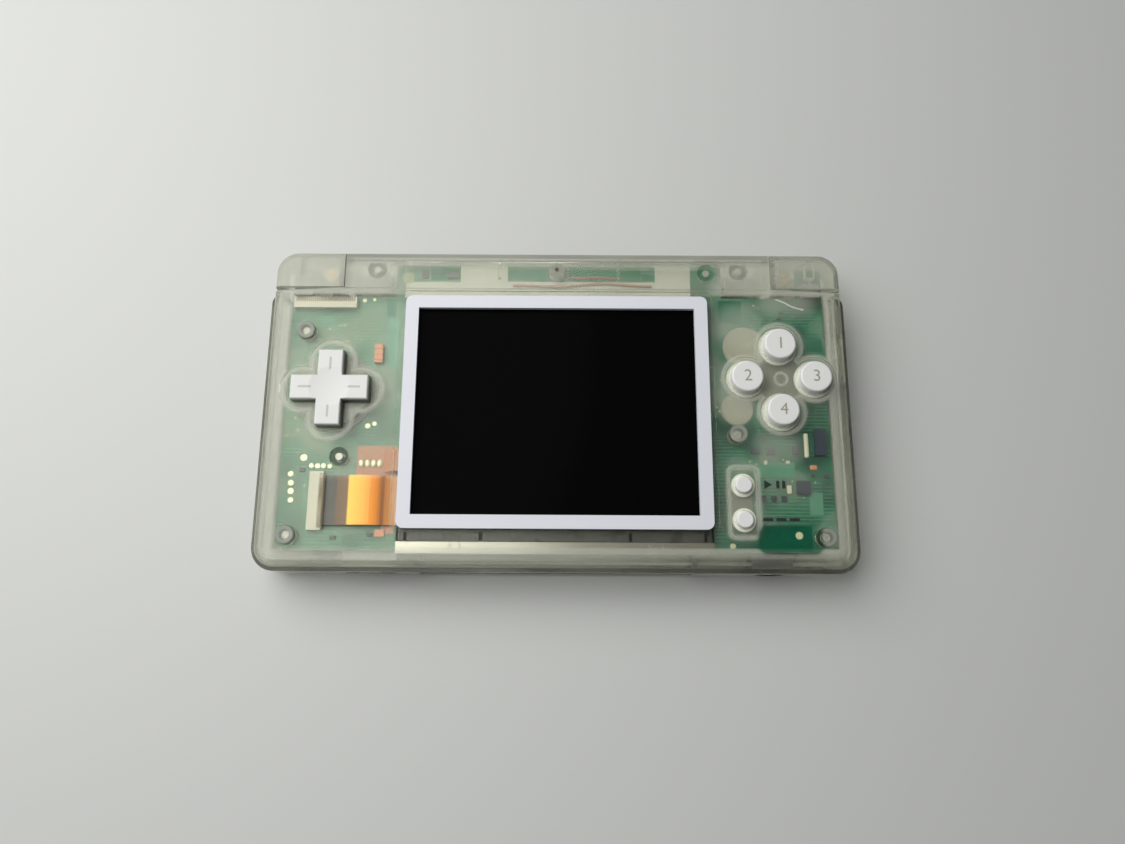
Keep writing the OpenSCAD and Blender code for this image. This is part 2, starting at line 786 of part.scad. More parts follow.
// Contact block behind the battery, with three spring blades
module battery_contacts() {
    color([0.85, 0.72, 0.35]) {
        y0 = bay_hi[1] + bay_rib + 0.2;
        pitch = (contact_x1 - contact_x0 - 1.2) / 3;
        block([contact_x0, y0, floor_top + 2], [contact_x1, y0 + 3, board_z]);
        for (i = [0:2])
            block([contact_x0 + (i + 0.43) * pitch, battery_y + battery_l, floor_top + 2.6],
                [contact_x0 + (i + 1) * pitch, y0 + 0.1, floor_top + 3]);
    }
}

// White frame round the window
module screen_bezel() {
    color([0.87, 0.88, 0.92])
    difference() {
        plate(screen_x - bezel_w / 2, screen_x + bezel_w / 2, frame_front_y, frame_rear_y,
            bezel_r, seat_z, seat_z + bezel_t);
        block([screen_x - window_w / 2, screen_y - window_d / 2, seat_z - over],
            [screen_x + window_w / 2, screen_y + window_d / 2, body_h + 3]);
    }
}

// Black foam between the touch panel and the frame
module screen_gasket() {
    color([0.08, 0.08, 0.09])
    difference() {
        plate(screen_x - hole_w / 2 + fit, screen_x + hole_w / 2 - fit,
            screen_y - hole_d / 2 + fit, screen_y + hole_d / 2 - fit, 0.7, touch_top, seat_z);
        block([screen_x - window_w / 2 - 0.2, screen_y - window_d / 2 - 0.2, touch_top - over],
            [screen_x + window_w / 2 + 0.2, screen_y + window_d / 2 + 0.2, body_h]);
    }
}

// Touch panel in the plate's window
module touch_panel() {
    color([0.03, 0.03, 0.04])
    plate(screen_x - hole_w / 2 + fit, screen_x + hole_w / 2 - fit,
        screen_y - hole_d / 2 + fit, screen_y + hole_d / 2 - fit, 0.7, touch_z, touch_top);
}

// Display, with its lip in front
module lcd_panel() {
    color([0.10, 0.10, 0.12])
    block([tray_x0 + tray_t + fit, frame_front_y - 2.6, lcd_z],
        [tray_x0 + tray_w - tray_t - fit, tray_y1 - tray_t - fit, lcd_top]);
}

// Sheet-metal tray of the display, with a closed channel along the front and four clips
module lcd_frame() {
    tray_top = lcd_top;
    channel_y = frame_front_y - 2.7;
    clip_reach = tray_w / 2 - 1.95;
    color([0.86, 0.85, 0.82]) {
        difference() {
            block([tray_x0, tray_y0, tray_z], [tray_x0 + tray_w, tray_y1, tray_top]);
            block([tray_x0 + tray_t, channel_y, lcd_z],
                [tray_x0 + tray_w - tray_t, tray_y1 - tray_t, tray_top + over]);
            block([tray_x0 + tray_t, tray_y0 + tray_t, lcd_z],
                [tray_x0 + tray_w - tray_t, channel_y - tray_t, tray_top - tray_t]);
            for (s = [-1, 1])
                translate([screen_x + s * (tray_w / 2 - 12.5), (tray_y0 + channel_y) / 2, tray_top - 0.1])
                    cylinder(r = 0.9, h = over);
        }
        for (s = [-1, -0.5, 0.5, 1])
            translate([screen_x + 0.1 + s * clip_reach, channel_y - 0.1, lcd_top])
                translate([-0.35, 0, 0]) cube([0.7, 2.1, 0.15]);
    }
}

// Height of the display's cable at share t of its way
function flex_z(t) = board_top + 0.55 + 1.05 * pow(sin(180 * t), 2);

// Orange cable from the display to the front socket, arched
module screen_flex() {
    steps = 16;
    xa = front_socket[0] + front_socket[2];
    xb = tray_x0;
    low = [for (i = [0:steps]) [xa + (xb - xa) * i / steps, flex_z(i / steps)]];
    high = [for (i = [steps:-1:0]) [xa + (xb - xa) * i / steps, flex_z(i / steps) + flex_t]];
    color([0.93, 0.62, 0.20])
    translate([0, front_socket[1] + front_socket[3] - 0.85, 0]) rotate([90, 0, 0])
        linear_extrude(front_socket[3] - 2) polygon(concat(low, high));
}

// Brown stub of the touch panel, soldered to the board by four pads, with its side strip
module touch_flex() {
    stub_x = front_socket[0] + front_socket[2] + 7;
    stub_y = front_socket[1] + front_socket[3] - 1.2;
    stub_w = tray_x0 - 3.6 - stub_x;
    pitch = (stub_w - 0.7) / 4;
    ramp_y = stub_y + 1.2;
    lift = touch_z - board_top;
    color([0.62, 0.36, 0.24]) {
        block([stub_x, stub_y, board_top], [stub_x + stub_w, stub_y + 7.2, board_top + flex_t]);
        block([stub_x + stub_w - 0.1, frame_front_y - 0.9, board_top],
            [tray_x0 - 0.9, stub_y + 7.2, board_top + flex_t / 2]);
        translate([0, ramp_y + 5, board_top]) rotate([90, 0, 0]) linear_extrude(5)
            polygon([
                [stub_x + stub_w - 0.1, 0], [stub_x + stub_w, 0], [tray_x0 - 0.7, lift],
                [screen_x - hole_w / 2 + fit, lift], [screen_x - hole_w / 2 + fit, lift + 0.15],
                [tray_x0 - 0.8, lift + 0.15], [stub_x + stub_w - 0.1, flex_t]
            ]);
        for (i = [0:3])
            block([stub_x + 0.5 + pitch * i, stub_y + 2.2, board_top + flex_t - 0.05],
                [stub_x + 0.5 + pitch * (i + 0.73), stub_y + 4.2, board_top + flex_t + 0.15]);
    }
}

// Flat cable socket: low body with a comb of pins along one side
module flex_socket(size, pins_behind) {
    length = max(size[0], size[1]);
    pitch = 0.5;
    count = floor((length - 1.6) / pitch);
    difference() {
        cube([size[0], size[1], socket_h]);
        if (pins_behind)
            for (i = [0:count - 1])
                translate([0.8 + i * pitch, size[1] - 0.9, socket_h - 0.3]) cube([pitch / 2, over, over]);
        else
            for (i = [0:count - 1])
                translate([size[0] - 0.9, 0.8 + i * pitch, socket_h - 0.3]) cube([over, pitch / 2, over]);
    }
}

// Socket that the display's cable goes into
module flex_connector_front() {
    color([0.88, 0.83, 0.74])
    translate([front_socket[0], front_socket[1], board_top])
        flex_socket([front_socket[2], front_socket[3]], false);
}

// Empty socket near the rear left corner
module flex_connector_rear() {
    color([0.88, 0.83, 0.74])
    translate([rear_socket[0], rear_socket[1], board_top])
        flex_socket([rear_socket[2], rear_socket[3]], true);
}

board_x = side_x - board_inset;
board_corner_r = front_r - 2.6;
board_rear_y = strip_y - 0.85;
strip_tabs = [
    [-rear_screw_x + 4.1, -rear_screw_x + 20.1],
    [wire_x - 1.8, wire_x + wire_run + 1.6],
    [rear_screw_x - 11.1, rear_screw_x - 3.7]
];
tab_x0 = pin_x + 3.1;

// Circuit board with tabs into the rear strip and under the shoulder buttons
module main_board() {
    color([0.16, 0.42, 0.30])
    difference() {
        translate([0, 0, board_z]) linear_extrude(board_t) {
            plan(-board_x, board_x, front_y + board_inset, board_rear_y, board_corner_r, 1);
            for (t = strip_tabs)
                translate([t[0], board_rear_y - 1])
                    square([t[1] - t[0], rear_y - 1.95 - board_rear_y + 1]);
            for (x = [-board_x, tab_x0])
                translate([x, board_rear_y - 2])
                    square([board_x - tab_x0, rear_y - 3.2 - board_rear_y + 2]);
        }
        for (p = concat(case_screw_places, board_screw_places))
            translate([p[0], p[1], board_z - over])
                cylinder(r = screw_r + 0.3, h = board_t + 2 * over);
    }
}

chip_x = card_w / 2 + cage_t + 3.15;
chip_y = connector_y + connector_d + 4;

// Processor and memory under the board
module processor_chips() {
    color([0.10, 0.10, 0.11]) {
        block([-chip_x - chip_w, chip_y, board_z - 1], [-chip_x, chip_y + chip_w, board_z]);
        block([chip_x, chip_y + 1, board_z - 1], [chip_x + memory_w, chip_y + 1 + memory_w, board_z]);
    }
}

// Small black parts on top of the board, right of the screen
module board_parts() {
    color([0.13, 0.14, 0.20]) {
        part_at(face_x + 8.8, face_y - 14.3, 2.6, 6, 1);
        part_at(face_x + 4.5, face_y - 24.6, 3, 3, 0.9);
        part_at(face_x + 3.3, face_y - 16.2, 1.4, 1.6, 0.8);
        part_at(face_x - 5.8, face_y - 16.2, 2, 1.4, 0.7);
        part_at(face_x - 2.4, face_y - 16.4, 2, 1.4, 0.7);
        for (i = [0:2]) part_at(face_x - 4.4 + 2.25 * i, face_y - 27.1, 1.1, 1.2, 0.6);
    }
}

// Box-shaped part on the board, by its centre
module part_at(x, y, w, d, h) {
    block([x - w / 2, y - d / 2, board_top], [x + w / 2, y + d / 2, board_top + h]);
}

// Orange-red part beside the pad
module red_inductor() {
    color([0.80, 0.45, 0.32])
    part_at(dpad_x + 9.9, dpad_y + 9.1, 1.8, 4.4, 1.2);
}

// Shielded radio module under the board
module radio_module() {
    color([0.78, 0.78, 0.76]) {
        x1 = -chip_x - chip_w - 2.6;
        block([dpad_x - 3.2, strip_y - 13.7, board_z - 0.6], [x1, strip_y - 1.7, board_z]);
        block([dpad_x - 2, strip_y - 12.9, board_z - 2.2], [x1 - 4.8, strip_y - 2.5, board_z - 0.5]);
    }
}

// Red wire along the rear strip, soldered at both ends
module jumper_wire() {
    wire_r = 0.35;
    steps = 28;
    color([0.66, 0.24, 0.18])
    translate([0, strip_y + 2.1, board_top + wire_r + 0.05])
        tube([for (i = [0:steps]) [wire_x + wire_run * i / steps, wire_sway(i / steps), 0]], wire_r);
}

// Sideways sway of the wire at share t of its way
function wire_sway(t) = 0.32 * sin(360 * t + 200) + 0.15 * sin(720 * t);

// Bar of the cross along X, from z0 to z1, with soft upper edges
module soft_bar(z0, z1) {
    intersection() {
        translate([-dpad_span / 2, 0, z0]) rotate([90, 0, 90]) linear_extrude(dpad_span)
            for (s = [0, 1]) mirror([s, 0]) edge_section(dpad_arm / 2, z1 - z0, 0.35);
        translate([0, dpad_arm / 2, z0]) rotate([90, 0, 0]) linear_extrude(dpad_arm)
            for (s = [0, 1]) mirror([s, 0]) edge_section(dpad_span / 2, z1 - z0, 0.35);
    }
}

// Cross pad: cross on a round flange, with a socket for the pivot ball
module dpad() {
    flange_top = plate_z - (dpad_flange_r + 0.1) * sin(dpad_tilt * 1.42) - 0.06;
    flange_t = 0.55;
    top = body_h + dpad_rise;
    dish_r = 30;
    color([0.90, 0.90, 0.90])
    translate([dpad_x, dpad_y, 0]) difference() {
        union() {
            for (a = [0, 90]) rotate([0, 0, a]) soft_bar(flange_top - 0.1, top);
            translate([0, 0, flange_top - flange_t]) cylinder(r = dpad_flange_r, h = flange_t);
        }
        translate([0, 0, pivot_z]) sphere(pivot_r + 0.08);
        translate([0, 0, pivot_z - 3]) cylinder(r = pivot_r + 0.08, h = 3);
        translate([0, 0, top + dish_r - 0.35]) sphere(dish_r, $fn = 128);
        for (a = [0:90:270])
            rotate([0, 0, a]) block([dpad_span / 2 - 5.1, -0.14, top - 0.14],
                [dpad_span / 2 - 1.8, 0.14, top + over]);
    }
}

pivot_z = board_top + pivot_r + 0.02;

// Ball that the pad rocks on
module dpad_pivot() {
    color([0.72, 0.72, 0.74])
    translate([dpad_x, dpad_y, pivot_z]) sphere(pivot_r);
}

// Domed rubber key: base radius r1, top radius r2, height h
module dome(r1, r2, h) {
    difference() {
        cylinder(r1 = r1, r2 = r2, h = h);
        translate([0, 0, -0.01]) cylinder(r1 = r1 - 0.45, r2 = r2 - 0.45, h = h - 0.45);
    }
}

// Rubber sheet under the pad with four domes
module dpad_membrane() {
    dome_at = 5.7;
    top = plate_z - (dpad_flange_r + 0.1) * sin(dpad_tilt * 1.42) - 0.61 - 0.05;
    color([0.80, 0.82, 0.80])
    translate([dpad_x, dpad_y, board_top]) {
        difference() {
            cylinder(r = dpad_flange_r + 1.4, h = 0.3);
            translate([0, 0, -over]) cylinder(r = pivot_r + 0.6, h = 2 * over);
            for (a = [0:90:270])
                rotate([0, 0, a]) translate([dome_at, 0, -over]) cylinder(r = 1.5, h = 2 * over);
        }
        for (a = [0:90:270])
            rotate([0, 0, a]) translate([dome_at, 0, 0]) dome(2.1, 1.4, top - board_top);
    }
}

// Round button: cap with a softened edge, flange with two ears below the plate
module round_button(d, rise, flange_r, flange_t, e) {
    flange_top = plate_z - 0.05;
    top = body_h + rise;
    translate([0, 0, flange_top - flange_t])
        cylinder(r = flange_r, h = flange_t);
    translate([0, 0, flange_top - 0.1])
        rotate_extrude() edge_section(d / 2, top - flange_top + 0.1, e);
}

// Face button number i, counted from the rear one
module face_button(i) {
    color([0.90, 0.90, 0.89])
    translate([face_x + face_places[i][0], face_y + face_places[i][1], 0])
        round_button(face_d, face_rise, face_d / 2 + 0.75, 0.8, 0.4);
}

module face_button_rear() { face_button(0); }

module face_button_left() { face_button(1); }

module face_button_right() { face_button(2); }

module face_button_front() { face_button(3); }

// Rubber sheet under the face buttons with four domes and two lobes towards the screen
module face_button_membrane() {
    key_h = plate_z - 0.95 - board_top;
    color([0.80, 0.82, 0.80])
    translate([face_x, face_y, board_top]) {
        difference() {
            union() {
                for (p = face_places) translate([p[0], p[1], 0]) cylinder(r = 3.6, h = 0.3);
                cylinder(r = face_pitch - 1.4, h = 0.3);
                translate([-face_pitch * 0.94, face_pitch * 1.06, 0]) cylinder(r = 5, h = 0.3);
                translate([-face_pitch * 1.22, -face_pitch * 0.86, 0]) cylinder(r = 3.8, h = 0.3);
            }
            for (p = face_places) translate([p[0], p[1], -over]) cylinder(r = 2.2, h = 2 * over);
        }
        for (p = face_places) translate([p[0], p[1], 0]) dome(2 + face_travel, 2, key_h);
    }
}

// One of the two small buttons
module menu_button(y) {
    color([0.90, 0.90, 0.89])
    translate([menu_x, y, 0]) round_button(menu_d, menu_rise, menu_d / 2 + 0.75, 0.6, 0.35);
}

module start_button() { menu_button(start_y); }

module select_button() { menu_button(select_y); }

// Rubber strip under the two small buttons
module menu_button_membrane() {
    key_h = plate_z - 0.75 - board_top;
    color([0.80, 0.82, 0.80])
    union() {
        difference() {
            plate(menu_x - 2.4, menu_x + 2.4, select_y - 2.4, start_y + 2.4, 2, board_top,
                board_top + 0.3);
            for (y = [start_y, select_y])
                translate([menu_x, y, board_top - over]) cylinder(r = 1.3, h = 2 * over);
        }
        for (y = [start_y, select_y]) translate([menu_x, y, board_top]) dome(1.3 + 1.5 * menu_travel, 1.3, key_h);
    }
}

// Right-hand shoulder button: rounded corner skin with a pivot eye and a plunger
module trigger_body() {
    eye_z0 = coil_top + 0.15;
    h = body_h - trigger_z;
    difference() {
        union() {
            intersection() {
                difference() {
                    translate([0, 0, trigger_z])
                        soft_slab(-top_x, top_x, top_front_y, rear_y, front_r, rear_r, h, edge_r);
                    translate([0, 0, trigger_z - over]) linear_extrude(h + over - plate_t)
                        plan(-top_x + wall_t, top_x - wall_t, 0, rear_y - wall_t, 1,
                            rear_r - wall_t);
                }
                block([trigger_x, trigger_y, 0], [side_x, rear_y + over, body_h + over]);
            }
            block([trigger_x, trigger_y, trigger_z], [trigger_x + 1.2, rear_y - wall_t + 0.1, plate_z + 0.1]);
            translate([pin_x, pin_y, eye_z0]) cylinder(r = pin_r + 1, h = pin_top - eye_z0);
            block([trigger_x + 1, pin_y - 1.1, eye_z0], [pin_x, pin_y + 1.1, pin_top]);
            block([pin_x + 5.1, pin_y - 0.25, board_top + 0.3],
                [pin_x + 7.1, rear_y - wall_t + 0.1, plate_z + 0.1]);
        }
        translate([pin_x, pin_y, eye_z0 - over])
            cylinder(r = pin_r + pin_fit, h = pin_top - eye_z0 + 2 * over);
    }
}

module right_trigger() {
    color([0.80, 0.82, 0.76]) trigger_body();
}

module left_trigger() {
    color([0.80, 0.82, 0.76]) mirror([1, 0, 0]) trigger_body();
}

// Brass pivot pins with slotted heads
module trigger_pins() {
    color([0.80, 0.62, 0.30])
    for (s = [0, 1])
        mirror([s, 0, 0]) translate([pin_x, pin_y, 0]) {
            translate([0, 0, floor_top + 0.5]) cylinder(r = pin_r, h = pin_top - floor_top - 0.4);
            difference() {
                translate([0, 0, pin_top + 0.05]) cylinder(r = pin_r + 0.75, h = 0.5);
                block([-0.9, -0.15, pin_top + 0.3], [0.9, 0.15, pin_top + over]);
            }
        }
}

// Route of a torsion spring: leg, turns, leg, 8 points a turn
spring_leg = pin_y - spring_stop_y - 0.12;
spring_end = pin_x - trigger_x - 1.2;
coil_steps = 8 * coil_turns + 2;
spring_route = concat(
    [for (i = [0:2]) [coil_r, -spring_leg * (1 - i / 3), coil_z]],
    [for (i = [0:coil_steps]) [
        coil_r * cos(i * 45), coil_r * sin(i * 45), coil_z + coil_pitch * i / 8
    ]],
    [for (i = [1:2]) [-spring_end * i / 2, coil_r, coil_z + coil_pitch * coil_steps / 8]]
);

// Unit direction of a route at point i
function heading(route, i) =
    let (a = route[max(i - 1, 0)], b = route[min(i + 1, len(route) - 1)], d = b - a)
    i == 0 ? unit(route[1] - route[0])
    : i == len(route) - 1 ? unit(route[i] - route[i - 1]) : unit(d);

function unit(v) = v / norm(v);

// Tube of six sides swept along a route
module tube(route, r) {
    sides = 6;
    n = len(route);
    points = [
        for (i = [0:n - 1])
            let (t = heading(route, i), u = unit(cross([0, 0, 1], t)), w = cross(t, u))
            for (k = [0:sides - 1])
                route[i] + r * (cos(360 * k / sides) * u + sin(360 * k / sides) * w)
    ];
    skin = [
        for (i = [0:n - 2], k = [0:sides - 1])
            let (a = i * sides + k, b = i * sides + (k + 1) % sides)
            each [[a, b, a + sides], [b, b + sides, a + sides]]
    ];
    ends = [
        for (k = [1:sides - 2])
            each [[0, k + 1, k], [(n - 1) * sides, (n - 1) * sides + k, (n - 1) * sides + k + 1]]
    ];
    polyhedron(points = points, faces = [for (f = concat(skin, ends)) [f[0], f[2], f[1]]]);
}

// Least distance between parts of a route that are half a turn or more apart
function self_gap(route, d) = min([
    for (i = [0:len(route) - 1], j = [0:len(route) - 1]) if (j > i + 4) norm(route[i] - route[j])
]) - d;

// Right-hand torsion spring on its pin
module trigger_spring() {
    echo(spring_gap = self_gap(spring_route, wire_d));
    color([0.78, 0.66, 0.42])
    translate([pin_x, pin_y, 0]) tube(spring_route, wire_d / 2);
}

module right_trigger_spring() { trigger_spring(); }

module left_trigger_spring() { mirror([1, 0, 0]) trigger_spring(); }

// Small push switches in front of the shoulder buttons' plungers
module trigger_switches() {
    color([0.25, 0.26, 0.28])
    for (s = [0, 1])
        mirror([s, 0, 0]) translate([pin_x + 6.1, pin_y, board_top]) {
            block([-2, -4.9, 0], [2, -1.7, 1.8]);
            translate([0, -1.8, 0.95]) rotate([-90, 0, 0]) cylinder(r = 0.6, h = 0.9);
        }
}

// Ribbed knob of a slider: length l along Y, outer face at x = 0, stem towards -X
module ribbed_knob(l) {
    ribs = floor((l - 1) / rib_pitch);
    difference() {
        block([-wall_t - run - 0.1, -l / 2, -knob_h / 2], [0, l / 2, knob_h / 2]);
        for (i = [0:ribs])
            translate([-0.3, (i - ribs / 2) * rib_pitch - rib_pitch / 4, -knob_h])
                cube([over, rib_pitch / 2, 2 * knob_h]);
    }
    block([-wall_t - run - 0.9, -l / 2 - 1.9, -knob_h / 2 - 0.6],
        [-wall_t - run, l / 2 + 1.9, knob_h / 2 + 0.6]);
    block([-wall_t - run - 2.2, -0.7, -0.6], [-wall_t - run - 0.8, 0.7, 0.6]);
}

// Power slider in the right side
module power_slider() {
    color([0.80, 0.82, 0.76])
    translate([side_x, power_y, slider_z]) ribbed_knob(power_len);
}

// Switch body: slot in its outer face for a slider's stem, which moves from a to b
module switch_body(l, reach, a, b) {
    x1 = -wall_t - run - 1.2;
    difference() {
        block([x1 - reach, -l / 2, -1.7], [x1, l / 2, board_z - slider_z]);
        block([x1 - 1.2, a - 1, -0.9], [x1 + over, b + 1, 0.9]);
    }
}

// Switch behind the power slider
module power_switch() {
    color([0.30, 0.31, 0.33])
    translate([side_x, power_y, slider_z]) switch_body(9, 3.4, 0, power_travel);
}

// Volume slider in the front edge
module volume_slider() {
    color([0.80, 0.82, 0.76])
    translate([volume_x, front_y, slider_z]) rotate([0, 0, -90]) ribbed_knob(volume_len);
}

// Switch behind the volume slider
module volume_switch() {
    color([0.30, 0.31, 0.33])
    translate([volume_x, front_y, slider_z]) rotate([0, 0, -90])
        switch_body(2 * volume_travel + 6, 3.4, -volume_travel, volume_travel);
}

// Headphone socket with a true bore through its nose
module headphone_jack() {
    depth = 14;
    color([0.12, 0.12, 0.13])
    difference() {
        union() {
            block([jack_x - 4.5, front_y + wall_t + fit, jack_z - 3],
                [jack_x + 4.5, front_y + depth, board_z]);
            translate([jack_x, front_y, jack_z]) rotate([-90, 0, 0])
                cylinder(r = jack_nose_r, h = wall_t + fit + 0.1);
        }
        translate([jack_x, front_y - over, jack_z]) rotate([-90, 0, 0])
            cylinder(r = jack_r, h = depth - 1.5 + over);
    }
}

// Charging socket with its contact tongue
module charge_port() {
    half = charge_w / 2 + 0.6;
    color([0.75, 0.75, 0.76])
    translate([-charge_x, 0, 0]) difference() {
        block([-half, rear_y - 9, charge_z0], [half, rear_y, board_z]);
        difference() {
            block([-charge_w / 2, rear_y - 7.5, charge_z0 + 0.5],
                [charge_w / 2, rear_y + over, board_z - 0.5]);
            block([-charge_w / 2 + 1.4, rear_y - 9, charge_z0 + 2.2],
                [charge_w / 2 - 1.4, rear_y - 1.2, charge_z0 + 3]);
        }
    }
}

// Metal cage of the card slot, closed in front by its contact block
module card_slot() {
    y0 = rear_y - wall_t - fit - card_d;
    y1 = rear_y - wall_t - fit;
    half = card_w / 2;
    color([0.72, 0.72, 0.74]) {
        difference() {
            block([-half - cage_t, y0 - card_block, card_z0 - cage_t], [half + cage_t, y1, cage_top]);
            block([-half, y0, card_z0], [half, y1 + over, card_z0 + card_h]);
        }
    }
}

// Contact block at the end of the cartridge slot, with a guide along each side of the slot
module cartridge_connector() {
    contacts = 32;
    pitch = cart_w / 40;
    outer = cart_w / 2 + guide_t;
    color([0.14, 0.14, 0.15]) {
        block([-outer, connector_y, floor_top], [outer, connector_y + connector_d, board_z]);
        for (s = [0, 1])
            mirror([s, 0, 0])
                block([cart_w / 2, front_y + wall_t + fit, floor_top],
                    [outer, connector_y + 0.1, cart_top]);
        for (i = [0:contacts - 1])
            block([(i - contacts / 2 + 0.25) * pitch, connector_y - 1.8, cart_top - 1.3],
                [(i - contacts / 2 + 0.75) * pitch, connector_y + 0.1, cart_top - 0.7]);
    }
}

// Round speaker: frame, magnet and cone
module speaker() {
    color([0.20, 0.20, 0.22])
    translate([speaker_x, speaker_y, floor_top]) {
        difference() {
            cylinder(r = speaker_r, h = speaker_h * 0.55);
            translate([0, 0, -over]) cylinder(r1 = speaker_r * 0.9, r2 = speaker_r * 0.4, h = over + 1.1);
        }
        translate([0, 0, speaker_h * 0.55 - 0.1])
            cylinder(r = speaker_r * 0.6, h = speaker_h * 0.45 + 0.1);
    }
}

// Two short wires from the speaker up to the board
module speaker_wires() {
    color([0.66, 0.24, 0.18])
    for (s = [-1, 1])
        translate([speaker_x + s * 1.2, speaker_y + speaker_r * 0.8, floor_top + speaker_h * 0.55])
            cylinder(r = 0.4, h = board_z - floor_top - speaker_h * 0.55);
}

// Microphone capsule on the board
module microphone() {
    color([0.45, 0.45, 0.46])
    translate([screen_x, mic_y, board_top]) cylinder(r = 1.25, h = 1.4);
}

// Soft boot that joins the capsule to the sound hole
module microphone_boot() {
    color([0.62, 0.63, 0.60])
    translate([screen_x, mic_y, board_top]) difference() {
        cylinder(r = 1.8, h = button_room);
        translate([0, 0, -over]) cylinder(r = 1.25, h = over + 1.4);
        cylinder(r = 0.5, h = button_room + over);
    }
}

upper_shell();
lower_shell();
rubber_feet();
case_screws();
board_screws();
battery_cover();
battery_cover_screw();
battery_pack();
battery_contacts();
screen_bezel();
screen_gasket();
touch_panel();
lcd_panel();
lcd_frame();
screen_flex();
touch_flex();
flex_connector_front();
flex_connector_rear();
main_board();
processor_chips();
board_parts();
red_inductor();
radio_module();
jumper_wire();
dpad();
dpad_pivot();
dpad_membrane();
face_button_rear();
face_button_left();
face_button_right();
face_button_front();
face_button_membrane();
start_button();
select_button();
menu_button_membrane();
left_trigger();
right_trigger();
trigger_pins();
left_trigger_spring();
right_trigger_spring();
trigger_switches();
power_slider();
power_switch();
volume_slider();
volume_switch();
headphone_jack();
charge_port();
card_slot();
cartridge_connector();
speaker();
speaker_wires();
microphone();
microphone_boot();
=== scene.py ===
from math import pi, radians

import bmesh
import bpy
from mathutils import Matrix, Vector


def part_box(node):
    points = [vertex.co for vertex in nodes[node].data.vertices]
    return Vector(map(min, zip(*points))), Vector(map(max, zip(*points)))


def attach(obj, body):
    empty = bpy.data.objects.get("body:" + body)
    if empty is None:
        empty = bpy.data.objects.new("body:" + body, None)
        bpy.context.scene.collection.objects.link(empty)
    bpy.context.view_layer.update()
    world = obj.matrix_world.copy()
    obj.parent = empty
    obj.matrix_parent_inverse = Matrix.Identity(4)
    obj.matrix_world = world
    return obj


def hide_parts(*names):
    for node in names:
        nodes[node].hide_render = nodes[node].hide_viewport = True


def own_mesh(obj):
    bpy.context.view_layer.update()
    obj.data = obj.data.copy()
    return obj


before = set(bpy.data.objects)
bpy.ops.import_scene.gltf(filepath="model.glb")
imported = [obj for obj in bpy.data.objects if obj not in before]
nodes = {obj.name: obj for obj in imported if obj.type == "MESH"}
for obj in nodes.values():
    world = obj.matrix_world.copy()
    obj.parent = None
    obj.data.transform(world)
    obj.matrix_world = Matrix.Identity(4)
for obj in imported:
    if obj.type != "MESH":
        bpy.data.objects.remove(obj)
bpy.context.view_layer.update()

MM = 0.001

# The photograph's camera, worked out from the casing's corners and the screen's frame:
# its place in metres, its turn in degrees and its focal length in the photograph's pixels
CAMERA_AT = (1.33 * MM, -50.66 * MM, 205.48 * MM)
CAMERA_TURN = (13.65, -0.07, 0.31)
FOCAL_PX = 887.5
PHOTO_W = 1125
SENSOR_W = 36.0

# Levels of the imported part, in millimetres
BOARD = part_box("main_board")[1].z / MM
SEAM = 10.8
CASE_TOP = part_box("upper_shell")[1].z / MM

# Thicknesses in millimetres
FILM = 0.03
TAPE = 0.08
TINNING = 0.12
INK = 0.02
SHEET = 0.3
DOME_WALL = 0.45

# Radius in millimetres of the rounded box that stands for the casing's outline
OUTLINE_RADIUS = 4.5

# The face buttons in the order of their numbers, and the four arms of the cross pad
KEYS = ("rear", "left", "right", "front")
ARMS = ((1, 0), (0, 1), (-1, 0), (0, -1))

# Colours of the casing: its plastic, its bloom, the dark line at its seam, and its mirror
# reflection where the lamp glares in it and where it does not
PLASTIC = (0.93, 0.94, 0.88)
BLOOM = (0.52, 0.53, 0.46)
SEAM_LINE = (0.08, 0.07, 0.04)
GLARE = (0.5, 0.5, 0.48)
NO_GLARE = (0.06, 0.06, 0.06)


def middle(node):
    """Centre of a node's box, in millimetres."""
    low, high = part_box(node)
    return (low + high) / 2 / MM


PAD = middle("dpad")
CLUSTER = (middle("face_button_left") + middle("face_button_right")) / 2


# Shader helpers

